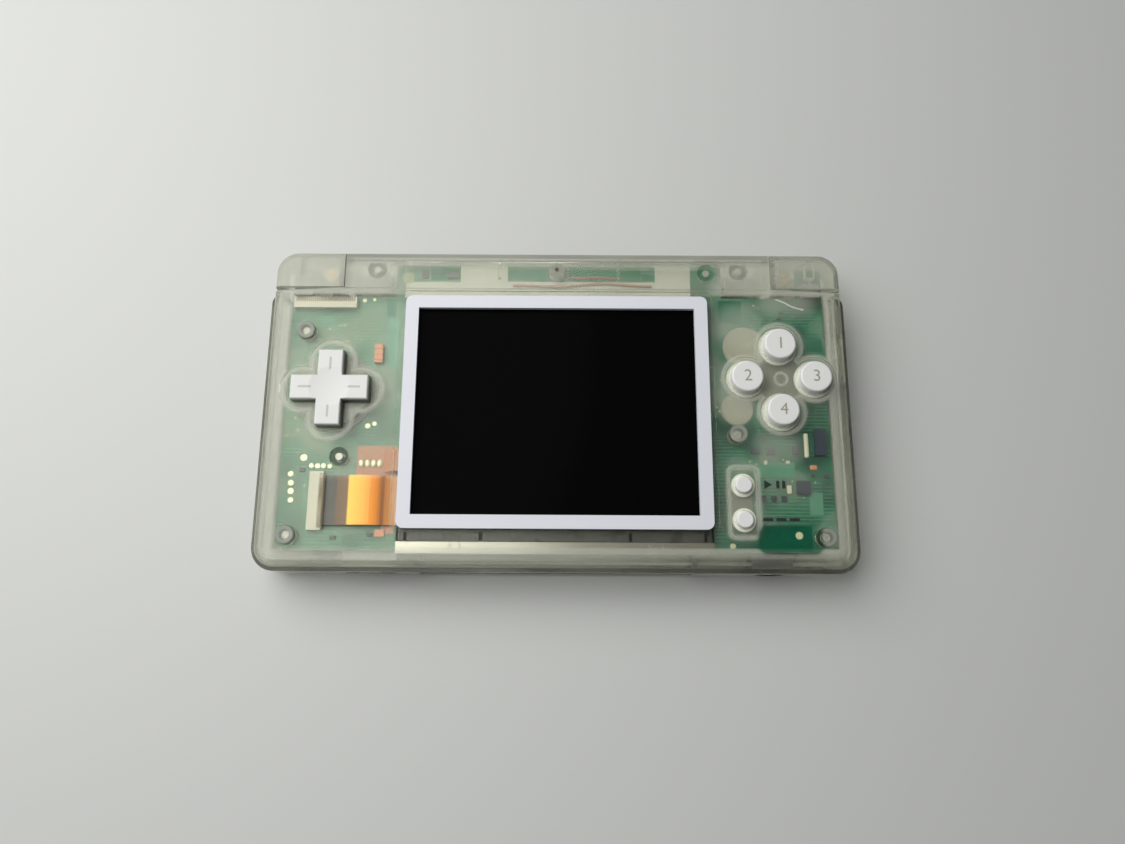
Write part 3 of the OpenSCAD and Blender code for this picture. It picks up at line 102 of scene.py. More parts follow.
class Maker:
    """Nodes of one material, linked as they are made."""

    def __init__(self, name):
        self.material = bpy.data.materials.new(name)
        self.material.use_nodes = True
        self.tree = self.material.node_tree
        self.shader = self.tree.nodes["Principled BSDF"]
        self.coord = None

    def node(self, kind, **values):
        """New node with its own settings."""
        made = self.tree.nodes.new(kind)
        for key, value in values.items():
            setattr(made, key, value)
        return made

    def link(self, source, target):
        """Feeds a node's socket from another."""
        self.tree.links.new(source, target)

    def place(self):
        """The point on the piece, in Object coordinates."""
        if self.coord is None:
            self.coord = self.node("ShaderNodeTexCoord").outputs["Object"]
        return self.coord

    def set(self, **values):
        """Plain values on the shader's own sockets."""
        for key, value in values.items():
            self.shader.inputs[key.replace("_", " ")].default_value = value
        return self

    def noise(self, scale, detail=2.0, rough=0.5, stretch=(1, 1, 1)):
        """Cloudy value from 0 to 1."""
        tex = self.node("ShaderNodeTexNoise")
        tex.inputs["Scale"].default_value = scale
        tex.inputs["Detail"].default_value = detail
        tex.inputs["Roughness"].default_value = rough
        source = self.place()
        if stretch != (1, 1, 1):
            mapping = self.node("ShaderNodeMapping")
            mapping.inputs["Scale"].default_value = stretch
            self.link(source, mapping.inputs["Vector"])
            source = mapping.outputs["Vector"]
        self.link(source, tex.inputs["Vector"])
        return tex.outputs["Fac"]

    def ramp(self, source, stops):
        """Colour by a value from 0 to 1; the stops are (value, colour)."""
        made = self.node("ShaderNodeValToRGB")
        elements = made.color_ramp.elements
        while len(elements) < len(stops):
            elements.new(0.5)
        for element, (at, colour) in zip(elements, stops):
            element.position = at
            element.color = (*colour, 1)
        self.link(source, made.inputs["Fac"])
        return made.outputs["Color"]

    def mix(self, fac, a, b, blend="MIX"):
        """Two colours mixed by a mask or a plain share."""
        made = self.node("ShaderNodeMix", data_type="RGBA", blend_type=blend)
        sockets = [s for s in made.inputs if s.enabled]
        for socket, value in zip(sockets, (fac, a, b)):
            if isinstance(value, bpy.types.NodeSocket):
                self.link(value, socket)
            elif isinstance(value, (int, float)):
                socket.default_value = value
            else:
                socket.default_value = (*value, 1)
        return [s for s in made.outputs if s.enabled][0]

    def share(self, source, low, high):
        """Where a value lies between two others, from 0 to 1."""
        made = self.node("ShaderNodeMapRange")
        made.inputs["From Min"].default_value = low
        made.inputs["From Max"].default_value = high
        self.link(source, made.inputs["Value"])
        return made.outputs["Result"]

    def math(self, operation, a, b=None, clamp=False):
        """One step of plain math on sockets and plain values."""
        made = self.node("ShaderNodeMath", operation=operation, use_clamp=clamp)
        for socket, value in zip(made.inputs, (a, b)):
            if value is None:
                continue
            if isinstance(value, bpy.types.NodeSocket):
                self.link(value, socket)
            else:
                socket.default_value = value
        return made.outputs[0]

    def strongest(self, *masks):
        """The highest of several masks."""
        most = masks[0]
        for mask in masks[1:]:
            most = self.math("MAXIMUM", most, mask)
        return most

    def axis(self, name):
        """X, Y or Z of the point on the piece."""
        made = self.node("ShaderNodeSeparateXYZ")
        self.link(self.place(), made.inputs[0])
        return made.outputs[name]

    def group(self, tree, **values):
        """Node group with its own values; an underscore stands for a space."""
        made = self.node("ShaderNodeGroup", node_tree=tree)
        for key, value in values.items():
            socket = made.inputs[key.replace("_", " ")]
            if isinstance(value, bpy.types.NodeSocket):
                self.link(value, socket)
            elif isinstance(value, (int, float)):
                socket.default_value = value
            else:
                colour = socket.type == "RGBA" and len(value) == 3
                socket.default_value = (*value, 1) if colour else value
        return made

    def to(self, source, name):
        """Links a source to a socket of the shader."""
        self.link(source, self.shader.inputs[name])


def group_tree(name, inputs, outputs):
    """Empty node group with its sockets; each input is (name, type, default)."""
    tree = bpy.data.node_groups.new(name, "ShaderNodeTree")
    for label, kind, default in inputs:
        socket = tree.interface.new_socket(label, in_out="INPUT", socket_type=kind)
        socket.default_value = default
    for label, kind in outputs:
        tree.interface.new_socket(label, in_out="OUTPUT", socket_type=kind)
    return tree, tree.nodes.new("NodeGroupInput"), tree.nodes.new("NodeGroupOutput")


def tree_step(tree, kind, operation, *values):
    """Node of plain or vector math in any node tree, from sockets and plain values."""
    node = tree.nodes.new(kind)
    node.operation = operation
    for socket, value in zip(node.inputs, values):
        if isinstance(value, bpy.types.NodeSocket):
            tree.links.new(value, socket)
        else:
            socket.default_value = value
    plain = kind == "ShaderNodeMath" or operation == "LENGTH"
    return node.outputs["Value" if plain else "Vector"]


def moulding_group():
    """Colour with faint clouding, and the fine grain of a moulded surface."""
    tree, given, made = group_tree(
        "moulded_surface",
        [
            ("Colour", "NodeSocketColor", (0.8, 0.8, 0.8, 1)),
            ("Cloud", "NodeSocketFloat", 0.06),
            ("Cloud Size", "NodeSocketFloat", 60.0),
            ("Roughness", "NodeSocketFloat", 0.4),
            ("Grain", "NodeSocketFloat", 0.1),
            ("Grain Size", "NodeSocketFloat", 2500.0),
        ],
        [
            ("Colour", "NodeSocketColor"),
            ("Roughness", "NodeSocketFloat"),
            ("Normal", "NodeSocketVector"),
        ],
    )
    link = tree.links.new
    coord = tree.nodes.new("ShaderNodeTexCoord")

    def noise(size, detail):
        made = tree.nodes.new("ShaderNodeTexNoise")
        made.inputs["Detail"].default_value = detail
        link(coord.outputs["Object"], made.inputs["Vector"])
        link(given.outputs[size], made.inputs["Scale"])
        return made.outputs["Fac"]

    def number(operation, *values):
        return tree_step(tree, "ShaderNodeMath", operation, *values)

    centred = number("SUBTRACT", noise("Cloud Size", 3), 0.5)
    amount = number("MULTIPLY", centred, given.outputs["Cloud"])
    tint = tree.nodes.new("ShaderNodeHueSaturation")
    link(given.outputs["Colour"], tint.inputs["Color"])
    link(number("ADD", amount, 1.0), tint.inputs["Value"])
    link(tint.outputs["Color"], made.inputs["Colour"])
    link(number("ADD", given.outputs["Roughness"], amount), made.inputs["Roughness"])
    bump = tree.nodes.new("ShaderNodeBump")
    bump.inputs["Distance"].default_value = 0.1 * MM
    link(noise("Grain Size", 2), bump.inputs["Height"])
    link(given.outputs["Grain"], bump.inputs["Strength"])
    link(bump.outputs["Normal"], made.inputs["Normal"])
    return tree


MOULDED = moulding_group()

# A distance in metres that no point of the object has from a rounded box
FAR_AWAY = 1.0


def moulded(name, colour, rough=0.4, cloud=0.06, cloud_size=60, grain=0.1, grain_size=2500,
            **extra):
    """Moulded plastic or rubber with faint clouding and grain."""
    maker = Maker(name)
    surface = maker.group(
        MOULDED, Colour=colour, Cloud=cloud, Cloud_Size=cloud_size, Roughness=rough,
        Grain=grain, Grain_Size=grain_size,
    )
    maker.to(surface.outputs["Colour"], "Base Color")
    maker.to(surface.outputs["Roughness"], "Roughness")
    maker.to(surface.outputs["Normal"], "Normal")
    return maker.set(**extra)


def box_distance(tree, place, centre, half, radius, nearest):
    """How far a place lies outside a rounded box seen from above, or outside a nearer one.

    Inside the box it is negative. Each value is a socket of the tree or a plain value.
    """
    def vector(operation, *values):
        return tree_step(tree, "ShaderNodeVectorMath", operation, *values)

    def number(operation, *values):
        return tree_step(tree, "ShaderNodeMath", operation, *values)

    flat = vector("MULTIPLY", vector("SUBTRACT", place, centre), (1, 1, 0))
    over = vector("SUBTRACT", vector("ABSOLUTE", flat), half)
    outside = vector("LENGTH", vector("MAXIMUM", over, (0, 0, 0)))
    return number("MINIMUM", number("SUBTRACT", outside, radius), nearest)


def outline_group():
    """The distance from a rounded box as a node group, for patterns in a base colour."""
    names = ("Place", "Centre", "Half", "Radius", "Nearest")
    kinds = [("NodeSocketVector", (0, 0, 0))] * 3
    kinds += [("NodeSocketFloat", 0.005), ("NodeSocketFloat", FAR_AWAY)]
    tree, given, made = group_tree(
        "moulded_outline", [(name, *kind) for name, kind in zip(names, kinds)],
        [("Nearest", "NodeSocketFloat")],
    )
    distance = box_distance(tree, *[given.outputs[name] for name in names])
    tree.links.new(distance, made.inputs["Nearest"])
    return tree


OUTLINE = outline_group()


def box_places(shapes):
    """Centre, half sizes and radius in metres of rounded boxes.

    Each box is given by its centre's x and y, its half sizes without the rounding, and its
    radius, in millimetres; a box without half sizes is a disc.
    """
    for x, y, half_x, half_y, radius in shapes:
        yield (x * MM, y * MM, 0), (half_x * MM, half_y * MM, 0), radius * MM


def outlines(maker, shapes):
    """Distance in metres from the nearest of several rounded boxes, for a base colour."""
    nearest = FAR_AWAY
    for centre, half, radius in box_places(shapes):
        made = maker.group(OUTLINE, Place=maker.place(), Centre=centre, Half=half,
                           Radius=radius, Nearest=nearest)
        nearest = made.outputs["Nearest"]
    return nearest


def mask_outlines(maker, shapes):
    """The same distance in the material's own nodes, for masks that mix its shaders."""
    nearest = FAR_AWAY
    for centre, half, radius in box_places(shapes):
        nearest = box_distance(maker.tree, maker.place(), centre, half, radius, nearest)
    return nearest


def casing_edge(maker, node, measure):
    """Distance from the outline of one half of the casing, by either of the two above."""
    low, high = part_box(node)
    at, half = middle(node), (high - low) / 2 / MM
    return measure(maker, [(at.x, at.y, half.x - OUTLINE_RADIUS, half.y - OUTLINE_RADIUS,
                            OUTLINE_RADIUS)])


def levels(maker, distance, stops):
    """Grey level against a distance in metres; the stops are (millimetres, level)."""
    first, last = stops[0][0], stops[-1][0]
    return maker.ramp(
        maker.share(distance, first * MM, last * MM),
        [((at - first) / (last - first), (level,) * 3) for at, level in stops],
    )


def past(maker, axis, place):
    """Distance by which a point lies past a place on an axis, which is in millimetres."""
    return maker.math("SUBTRACT", maker.axis(axis), place * MM)


def dish_shapes():
    """The sunk places round the cross pad, the face buttons and the two small buttons."""
    low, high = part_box("dpad")
    reach = (high.x - low.x) / MM / 2 - 2.3
    arm_dish, key_dish, between_keys = 5.3, 5.4, 6.2
    shapes = [(PAD.x, PAD.y, 0, 0, reach + 0.6)]
    for x, y in ARMS:
        shapes.append((PAD.x + reach * x, PAD.y + reach * y, 0, 0, arm_dish))
    shapes.append((CLUSTER.x, CLUSTER.y, 0, 0, between_keys))
    for key in KEYS:
        at = middle(f"face_button_{key}")
        shapes.append((at.x, at.y, 0, 0, key_dish))
    start, select = middle("start_button"), middle("select_button")
    half_w, corner = 1.9, 1.6
    half_d = (start.y - select.y) / 2 + 2.6
    shapes.append((start.x, (start.y + select.y) / 2, half_w, half_d, corner))
    return shapes


def pad_plastic():
    """White plastic cross, with painted shade on its flange under the casing and low on its arms.
    """
    maker = Maker("pad_plastic")
    white = maker.group(MOULDED, Colour=(0.72, 0.72, 0.705), Cloud=0.04, Cloud_Size=90.0,
                        Roughness=0.35, Grain=0.1, Grain_Size=2500.0)
    long, short, corner = 8.1, 2.2, 0.6
    cross = outlines(maker, [(PAD.x, PAD.y, long, short, corner),
                             (PAD.x, PAD.y, short, long, corner)])
    # Painted shade: outside the cross, on the flange under the casing, the colour is made dark.
    shaded_flange = levels(maker, cross, [(0.15, 0.0), (0.5, 1.0)])
    # Painted shade: the arms are darkened low down, next to the casing's top.
    shaded_foot = levels(maker, past(maker, "Z", CASE_TOP), [(0.2, 0.85), (1.1, 0.0)])
    wear_and_shade = maker.mix(shaded_foot, white.outputs["Colour"], (0.10, 0.11, 0.09))
    maker.to(maker.mix(shaded_flange, wear_and_shade, (0.17, 0.195, 0.155)), "Base Color")
    maker.to(white.outputs["Roughness"], "Roughness")
    maker.to(white.outputs["Normal"], "Normal")
    return maker


def seam(maker):
    """Dark line where the halves of the casing meet, on the outer wall only."""
    edge = casing_edge(maker, "lower_shell", outlines)
    at_edge = levels(maker, edge, [(-1.9, 0.0), (-1.4, 1.0)])
    line = levels(maker, past(maker, "Z", SEAM),
                  [(-0.5, 0.0), (-0.2, 1.0), (0.1, 1.0), (0.35, 0.0)])
    return maker.math("MULTIPLY", line, at_edge)


def clear_casing(name, rough, haze, dim, glare=None):
    """Clear moulded plastic with a milky bloom; the lamp shines in through it, dimmed."""
    maker = Maker(name)
    surface = maker.group(
        MOULDED, Colour=PLASTIC, Cloud=0.05, Cloud_Size=45.0, Roughness=rough, Grain=0.05,
        Grain_Size=1800.0,
    )
    maker.to(maker.mix(seam(maker), surface.outputs["Colour"], SEAM_LINE), "Base Color")
    maker.to(surface.outputs["Normal"], "Normal")
    maker.set(Roughness=rough, IOR=1.45, Transmission_Weight=1.0, Specular_Tint=(*GLARE, 1))
    milky = maker.node("ShaderNodeBsdfPrincipled")
    milky.inputs["Base Color"].default_value = (*BLOOM, 1)
    milky.inputs["Roughness"].default_value = 0.4
    bloom = maker.node("ShaderNodeMixShader")
    maker.link(haze(maker), bloom.inputs["Fac"])
    maker.link(maker.shader.outputs["BSDF"], bloom.inputs[1])
    maker.link(milky.outputs["BSDF"], bloom.inputs[2])
    if glare:
        maker.to(maker.mix(glare(maker), NO_GLARE, GLARE), "Specular Tint")
    rays = maker.node("ShaderNodeLightPath")
    open_way = maker.node("ShaderNodeBsdfTransparent")
    open_way.inputs["Color"].default_value = (dim, dim * 1.02, dim * 0.95, 1)
    blend = maker.node("ShaderNodeMixShader")
    maker.link(rays.outputs["Is Shadow Ray"], blend.inputs["Fac"])
    maker.link(bloom.outputs["Shader"], blend.inputs[1])
    maker.link(open_way.outputs["BSDF"], blend.inputs[2])
    maker.link(blend.outputs["Shader"], maker.tree.nodes["Material Output"].inputs["Surface"])
    return maker


def cloudy(maker, low, high):
    """Uneven bloom between two levels."""
    return maker.ramp(maker.noise(70, 2), [(0.35, (low,) * 3), (0.65, (high,) * 3)])


def polished(maker):
    """Share of bloom and glare left over the places that are seen clearly; elsewhere it is 1."""
    places = [(-0.2, -29.2, 34.4, 1.2, 0.3), (51.0, -30.0, 5.0, 1.0, 2.0),
              (-44.0, -22.3, 7.0, 4.6, 0.8)]
    return levels(maker, mask_outlines(maker, places), [(-0.3, 0.08), (0.6, 1.0)])


def less_bloom(maker):
    """Share of bloom left over the clear places and over the rear strip's green areas."""
    places = [(5.5, 32.9, 17.2, 1.2, 0.5), (-26.2, 32.8, 3.0, 1.0, 0.5),
              (34.6, 33.0, 2.4, 1.6, 0.5)]
    strip = levels(maker, mask_outlines(maker, places), [(-0.3, 0.75), (0.6, 1.0)])
    return maker.math("MULTIPLY", strip, polished(maker))


def less_glare(maker):
    """Share of the lamp's glare left over the clear places and the board's darker rear left."""
    soft = levels(maker, mask_outlines(maker, [(-48.5, 20.0, 3.0, 1.5, 5.0)]),
                  [(-5.0, 0.5), (3.0, 1.0)])
    return maker.math("MULTIPLY", soft, polished(maker))


def rim_bloom_and_light(maker):
    """Casing rim's bloom with painted light: broad and bright on the lamp's side, thin on the far
    side.
    """
    edge = casing_edge(maker, "upper_shell", mask_outlines)
    lit = levels(maker, edge, [(-4.5, 0.0), (-3.2, 0.22), (-1.6, 0.34), (-0.7, 0.16), (-0.3, 0.50),
                               (0.0, 0.50)])
    far = levels(maker, edge, [(-4.5, 0.0), (-4.1, 0.34), (-3.0, 0.28), (-1.9, 0.05),
                               (0.0, 0.03)])
    # Painted light: the rim's bloom goes from its lit form on the left to its thin form on the
    # right.
    across = levels(maker, maker.axis("X"), [(-40.0, 0.0), (45.0, 1.0)])
    near_share = maker.math("SUBTRACT", 1.0, across)
    return maker.math("ADD", maker.math("MULTIPLY", far, across),
                      maker.math("MULTIPLY", lit, near_share))


def strip_bloom(maker):
    """Bloom of the rear strip, stronger towards its ends, and of its rear lip."""
    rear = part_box("upper_shell")[1].y / MM
    strip = levels(maker, past(maker, "Y", rear - 10.4), [(-0.3, 0.0), (0.3, 1.0)])
    ends = levels(maker, maker.math("ABSOLUTE", maker.axis("X")), [(34.0, 0.10), (39.5, 0.40)])
    lip = levels(maker, past(maker, "Y", rear - 2.4), [(-0.4, 0.0), (0.3, 0.5)])
    return maker.strongest(lip, maker.math("MULTIPLY", strip, ends))


def top_haze(maker):
    """Bloom of the upper casing: in its dishes, round its holes and posts, and along its rim."""
    dishes = levels(
        maker, mask_outlines(maker, dish_shapes()),
        [(-2.2, 0.04), (-1.1, 0.10), (-0.45, 0.38), (0.05, 0.30), (0.45, 0.05), (1.2, 0.0)],
    )
    key_hole, post_between, screw_post = 3.9, 1.3, 1.7
    keys = [middle(f"face_button_{key}") for key in KEYS]
    holes = [(at.x, at.y, 0, 0, key_hole) for at in keys]
    holes.append((CLUSTER.x + 0.3, CLUSTER.y, 0, 0, post_between))
    lips = levels(maker, mask_outlines(maker, holes),
                  [(-0.3, 0.0), (0.0, 0.40), (0.4, 0.22), (0.6, 0.0)])
    screws = ((-57.6, 17.65), (-58.9, -29.25), (58.9, -29.25), (40.5, -6.3))
    posts = levels(maker, mask_outlines(maker, [(x, y, 0, 0, screw_post) for x, y in screws]),
                   [(-1.2, 0.16), (-0.3, 0.45), (0.1, 0.45), (0.5, 0.0)])
    gates = levels(
        maker, mask_outlines(maker, [(21.8, -31.0, 0, 0, 1.5), (-21.9, -31.4, 0, 0, 1.1)]),
        [(-0.35, 0.0), (-0.1, 0.16), (0.1, 0.16), (0.35, 0.0)],
    )
    patches = levels(
        maker,
        mask_outlines(maker, [(41.9, 18.6, 0, 0, 4.4), (40.2, 1.0, 0, 0, 3.4),
                              (49.5, -9.5, 2.0, 0.4, 2.0), (52.5, 24.2, 3.5, 0.2, 1.6)]),
        [(-3.0, 0.20), (-0.6, 0.15), (2.6, 0.0)],
    )
    most = maker.strongest(dishes, lips, posts, gates, patches, rim_bloom_and_light(maker),
                           strip_bloom(maker))
    total = maker.math("ADD", most, cloudy(maker, 0.0, 0.06), clamp=True)
    return maker.math("MULTIPLY", total, less_bloom(maker))


def circuit_board():
    """Green solder mask over copper areas, tracks and small plated holes; painted light on the
    left.
    """
    maker = Maker("circuit_board")
    area = maker.noise(95, 1.5, 0.4)
    lit_green = maker.ramp(
        area,
        [(0.40, (0.018, 0.100, 0.056)), (0.47, (0.050, 0.140, 0.080)),
         (0.53, (0.066, 0.155, 0.095)), (0.60, (0.125, 0.190, 0.130))],
    )
    deep_green = maker.ramp(
        area,
        [(0.40, (0.001, 0.055, 0.032)), (0.47, (0.006, 0.095, 0.055)),
         (0.53, (0.018, 0.115, 0.070)), (0.60, (0.090, 0.165, 0.125))],
    )
    # Painted light: the board's green is made paler to the left, where the lamp's glare lies.
    across = maker.share(maker.axis("X"), -30 * MM, 35 * MM)
    green = maker.mix(across, lit_green, deep_green)
    tracks = maker.node("ShaderNodeTexBrick", offset=0.37, squash=0.6, squash_frequency=3)
    tracks.inputs["Scale"].default_value = 260
    tracks.inputs["Mortar Size"].default_value = 0.035
    tracks.inputs["Mortar Smooth"].default_value = 0.3
    tracks.inputs["Brick Width"].default_value = 1.7
    tracks.inputs["Row Height"].default_value = 0.21
    maker.link(maker.place(), tracks.inputs["Vector"])
    wired = maker.ramp(maker.noise(170, 1), [(0.46, (0, 0, 0)), (0.54, (1, 1, 1))])
    shown = maker.math("MULTIPLY", tracks.outputs["Fac"], wired)
    traced = maker.mix(maker.math("MULTIPLY", shown, 0.6), green, (0.07, 0.28, 0.18))
    holes = maker.node("ShaderNodeTexVoronoi")
    holes.inputs["Scale"].default_value = 520
    maker.link(maker.place(), holes.inputs["Vector"])
    round_hole = maker.math("LESS_THAN", holes.outputs["Distance"], 0.13)
    drilled = maker.ramp(maker.noise(90, 0), [(0.55, (0, 0, 0)), (0.6, (1, 1, 1))])
    plated = maker.mix(maker.math("MULTIPLY", round_hole, drilled), traced, (0.42, 0.40, 0.24))
    maker.to(plated, "Base Color")
    bump = maker.node("ShaderNodeBump")
    bump.inputs["Strength"].default_value = 0.3
    bump.inputs["Distance"].default_value = 0.05 * MM
    maker.link(shown, bump.inputs["Height"])
    maker.to(bump.outputs["Normal"], "Normal")
    return maker.set(Roughness=0.35)


def display_film():
    """Flexible cable: dark stiffener by its socket, then brown, then bright amber, with tracks."""
    low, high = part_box("screen_flex")
    maker = Maker("display_film")
    film = maker.ramp(
        maker.share(maker.axis("X"), low.x, high.x),
        [(0.0, (0.022, 0.019, 0.018)), (0.17, (0.028, 0.022, 0.020)), (0.20, (0.11, 0.045, 0.013)),
         (0.33, (0.13, 0.055, 0.016)), (0.36, (1.0, 0.52, 0.030)), (0.56, (1.0, 0.40, 0.012)),
         (0.72, (0.75, 0.22, 0.008)), (0.79, (0.22, 0.07, 0.015)), (0.84, (0.50, 0.18, 0.03)),
         (1.0, (0.42, 0.17, 0.05))],
    )
    lines = maker.node("ShaderNodeTexWave", bands_direction="X")
    lines.inputs["Scale"].default_value = 560
    lines.inputs["Distortion"].default_value = 0.4
    maker.link(maker.place(), lines.inputs["Vector"])
    fine = maker.ramp(lines.outputs["Fac"], [(0.0, (0.62, 0.55, 0.45)), (0.25, (1, 1, 1))])
    maker.to(maker.mix(0.55, film, fine, "MULTIPLY"), "Base Color")
    return maker.set(Roughness=0.3, Coat_Weight=0.3)


def tray_sheet():
    """Pressed, brushed sheet metal with painted shade to the right, and a blackened channel."""
    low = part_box("lcd_frame")[0]
    maker = Maker("tray_sheet")
    brushed = maker.noise(900, 3, 0.6, (0.05, 1, 1))
    across = maker.share(maker.axis("X"), -30 * MM, 32 * MM)
    rear_edge = maker.ramp(
        across,
        [(0.0, (0.50, 0.49, 0.44)), (0.26, (0.40, 0.38, 0.30)), (0.32, (0.06, 0.055, 0.05)),
         (0.84, (0.06, 0.055, 0.05)), (0.90, (0.36, 0.34, 0.30)), (1.0, (0.22, 0.20, 0.17))],
    )
    # Painted shade: the metal's colour darkens from left to right, away from the lamp.
    shade_to_right = maker.ramp(
        across,
        [(0.0, (0.58, 0.555, 0.50)), (0.35, (0.46, 0.445, 0.41)), (0.6, (0.26, 0.25, 0.23)),
         (1.0, (0.17, 0.163, 0.148))],
    )
    grain = maker.ramp(brushed, [(0.3, (0.82, 0.82, 0.82)), (0.7, (1, 1, 1))])
    metal = maker.mix(1.0, shade_to_right, grain, "MULTIPLY")
    channel = maker.share(maker.axis("Y"), low.y + 2.45 * MM, low.y + 2.75 * MM)
    sheet = maker.mix(channel, metal, (0.012, 0.012, 0.011))
    rear_side = maker.math("GREATER_THAN", maker.axis("Y"), 0.0)
    maker.to(maker.mix(rear_side, sheet, rear_edge), "Base Color")
    rough = maker.ramp(brushed, [(0.2, (0.36, 0.36, 0.36)), (0.8, (0.48, 0.48, 0.48))])
    maker.to(rough, "Roughness")
    bright = maker.math("SUBTRACT", 1.0, channel)
    maker.to(maker.math("MULTIPLY", bright, 0.7), "Metallic")
    return maker.set(Specular_IOR_Level=0.08)


# Pieces of the looks

def place_piece(name, mesh, maker, body="console"):
    """Puts a mesh in the scene as a piece that rides on a body."""
    mesh.materials.clear()
    mesh.materials.append(maker.material)
    piece = bpy.data.objects.new(name, mesh)
    bpy.context.scene.collection.objects.link(piece)
    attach(piece, body)
    return piece


def finished_piece(name, shape, maker, body="console", smooth=False):
    """Turns a bmesh into a piece."""
    mesh = bpy.data.meshes.new(name)
    shape.to_mesh(mesh)
    shape.free()
    if smooth:
        mesh.shade_smooth()
    return place_piece(name, mesh, maker, body)


def mesh_from(curve):
    """Mesh of a curve or a text."""
    holder = bpy.data.objects.new(curve.name, curve)
    mesh = bpy.data.meshes.new_from_object(holder)
    bpy.data.objects.remove(holder)
    return mesh


def add_disc(shape, x, y, z, radius, height, segments=20):
    """Short round dot in millimetres, its lower face at z, with a softened upper edge."""
    bmesh.ops.create_cone(
        shape, cap_ends=True, segments=segments, radius1=radius * MM, radius2=radius * 0.93 * MM,
        depth=height * MM, matrix=Matrix.Translation((x * MM, y * MM, (z + height / 2) * MM)),
    )


def add_block(shape, x, y, z, w, d, h, soft=0.08):
    """Box in millimetres by its centre and lower face, with softened edges."""
    place = (
        Matrix.Translation((x * MM, y * MM, (z + h / 2) * MM))
        @ Matrix.Diagonal((w * MM, d * MM, h * MM, 1))
    )
    cube = bmesh.ops.create_cube(shape, size=1, matrix=place)
    edges = {edge for vert in cube["verts"] for edge in vert.link_edges}
    bmesh.ops.bevel(
        shape, geom=list(edges), offset=soft * MM, segments=2, affect="EDGES", profile=0.5,
        material=-1,
    )


def add_turned(shape, x, y, z, profile, steps=48):
    """Solid of revolution in millimetres from a closed profile of (radius, height) points.

    A profile that starts on the axis is left open there, and the spin closes it.
    """
    points = [shape.verts.new(((x + r) * MM, y * MM, (z + h) * MM)) for r, h in profile]
    rims = [shape.edges.new(pair) for pair in zip(points, points[1:])]
    if profile[0][0] > 0:
        rims.append(shape.edges.new((points[-1], points[0])))
    bmesh.ops.spin(
        shape, geom=points + rims, cent=(x * MM, y * MM, z * MM), axis=(0, 0, 1),
        angle=2 * pi, steps=steps, use_merge=True,
    )
    bmesh.ops.remove_doubles(shape, verts=shape.verts, dist=1e-7)
    bmesh.ops.recalc_face_normals(shape, faces=shape.faces)


def rubber_dome(name, at, base, top, height, finish):
    """Hollow rubber dome on the board, under a key.

    Its place, its base and top radii and its height are in millimetres.
    """
    shape = bmesh.new()
    inner = height - DOME_WALL
    soft = 0.12
    add_turned(shape, at[0], at[1], BOARD, [
        (0, height), (top - soft, height), (top, height - soft), (base, 0),
        (base - DOME_WALL, 0), (top - DOME_WALL, inner), (0, inner),
    ])
    dome = finished_piece(name, shape, finish)
    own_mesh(dome)


def dome_height(membrane):
    """Height of a membrane's domes above the board, in millimetres."""
    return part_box(membrane)[1].z / MM - BOARD


def face_rubber(finish, lobe_finish):
    """Sheet under the four face buttons, its two lobes and its four domes."""
    keys = {key: middle(f"face_button_{key}") for key in KEYS}
    pitch = keys["right"].x - CLUSTER.x
    key_sheet, middle_sheet = 3.6, pitch - 1.4
    shape = bmesh.new()
    for at in keys.values():
        add_disc(shape, at.x, at.y, BOARD, key_sheet, SHEET, 48)
    add_disc(shape, CLUSTER.x, CLUSTER.y, BOARD + 0.01, middle_sheet, SHEET - 0.02, 64)
    sheet = finished_piece("face_sheet", shape, finish)
    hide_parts("face_button_membrane")
    shape = bmesh.new()
    for x, y, radius in ((-0.94, 1.06, 5), (-1.22, -0.86, 3.8)):
        add_disc(shape, CLUSTER.x + x * pitch, CLUSTER.y + y * pitch, BOARD + 0.02, radius,
                 SHEET - 0.04, 64)
    finished_piece("face_sheet_lobes", shape, lobe_finish)
    height = dome_height("face_button_membrane")
    for key, at in keys.items():
        rubber_dome(f"face_dome_{key}", at, base=2.9, top=2, height=height,
                    finish=finish)


def menu_rubber(finish):
    """Sheet under the two small buttons, and its domes."""
    start, select = middle("start_button"), middle("select_button")
    shape = bmesh.new()
    for at in (start, select):
        add_disc(shape, at.x, at.y, BOARD, 2.4, SHEET, 48)
    add_block(shape, start.x, (start.y + select.y) / 2, BOARD + 0.01, 4.7, start.y - select.y,
              SHEET - 0.02, 0.04)
    sheet = finished_piece("menu_sheet", shape, finish)
    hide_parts("menu_button_membrane")
    height = dome_height("menu_button_membrane")
    for name, at in (("start", start), ("select", select)):
        rubber_dome(f"menu_dome_{name}", at, base=1.9, top=1.3, height=height,
                    finish=finish)


def pad_rubber(finish):
    """Ring of sheet round the pad's pivot, and a dome under each arm."""
    low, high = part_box("dpad_membrane")
    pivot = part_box("dpad_pivot")
    inner = (pivot[1].x - pivot[0].x) / MM / 2 + 0.6
    outer = (high.x - low.x) / MM / 2
    soft = 0.05
    shape = bmesh.new()
    add_turned(shape, PAD.x, PAD.y, BOARD, [
        (inner, 0), (outer, 0), (outer, SHEET - soft), (outer - soft, SHEET), (inner, SHEET),
    ], 72)
    sheet = finished_piece("dpad_sheet", shape, finish)
    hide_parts("dpad_membrane")
    below_pad = 0.06
    height = dome_height("dpad_membrane") - below_pad
    arm = 5.7
    for name, x, y in (("rear", 0, 1), ("front", 0, -1), ("left", -1, 0), ("right", 1, 0)):
        rubber_dome(f"dpad_dome_{name}", (PAD.x + arm * x, PAD.y + arm * y), base=2.1, top=1.4,
                    height=height, finish=finish)


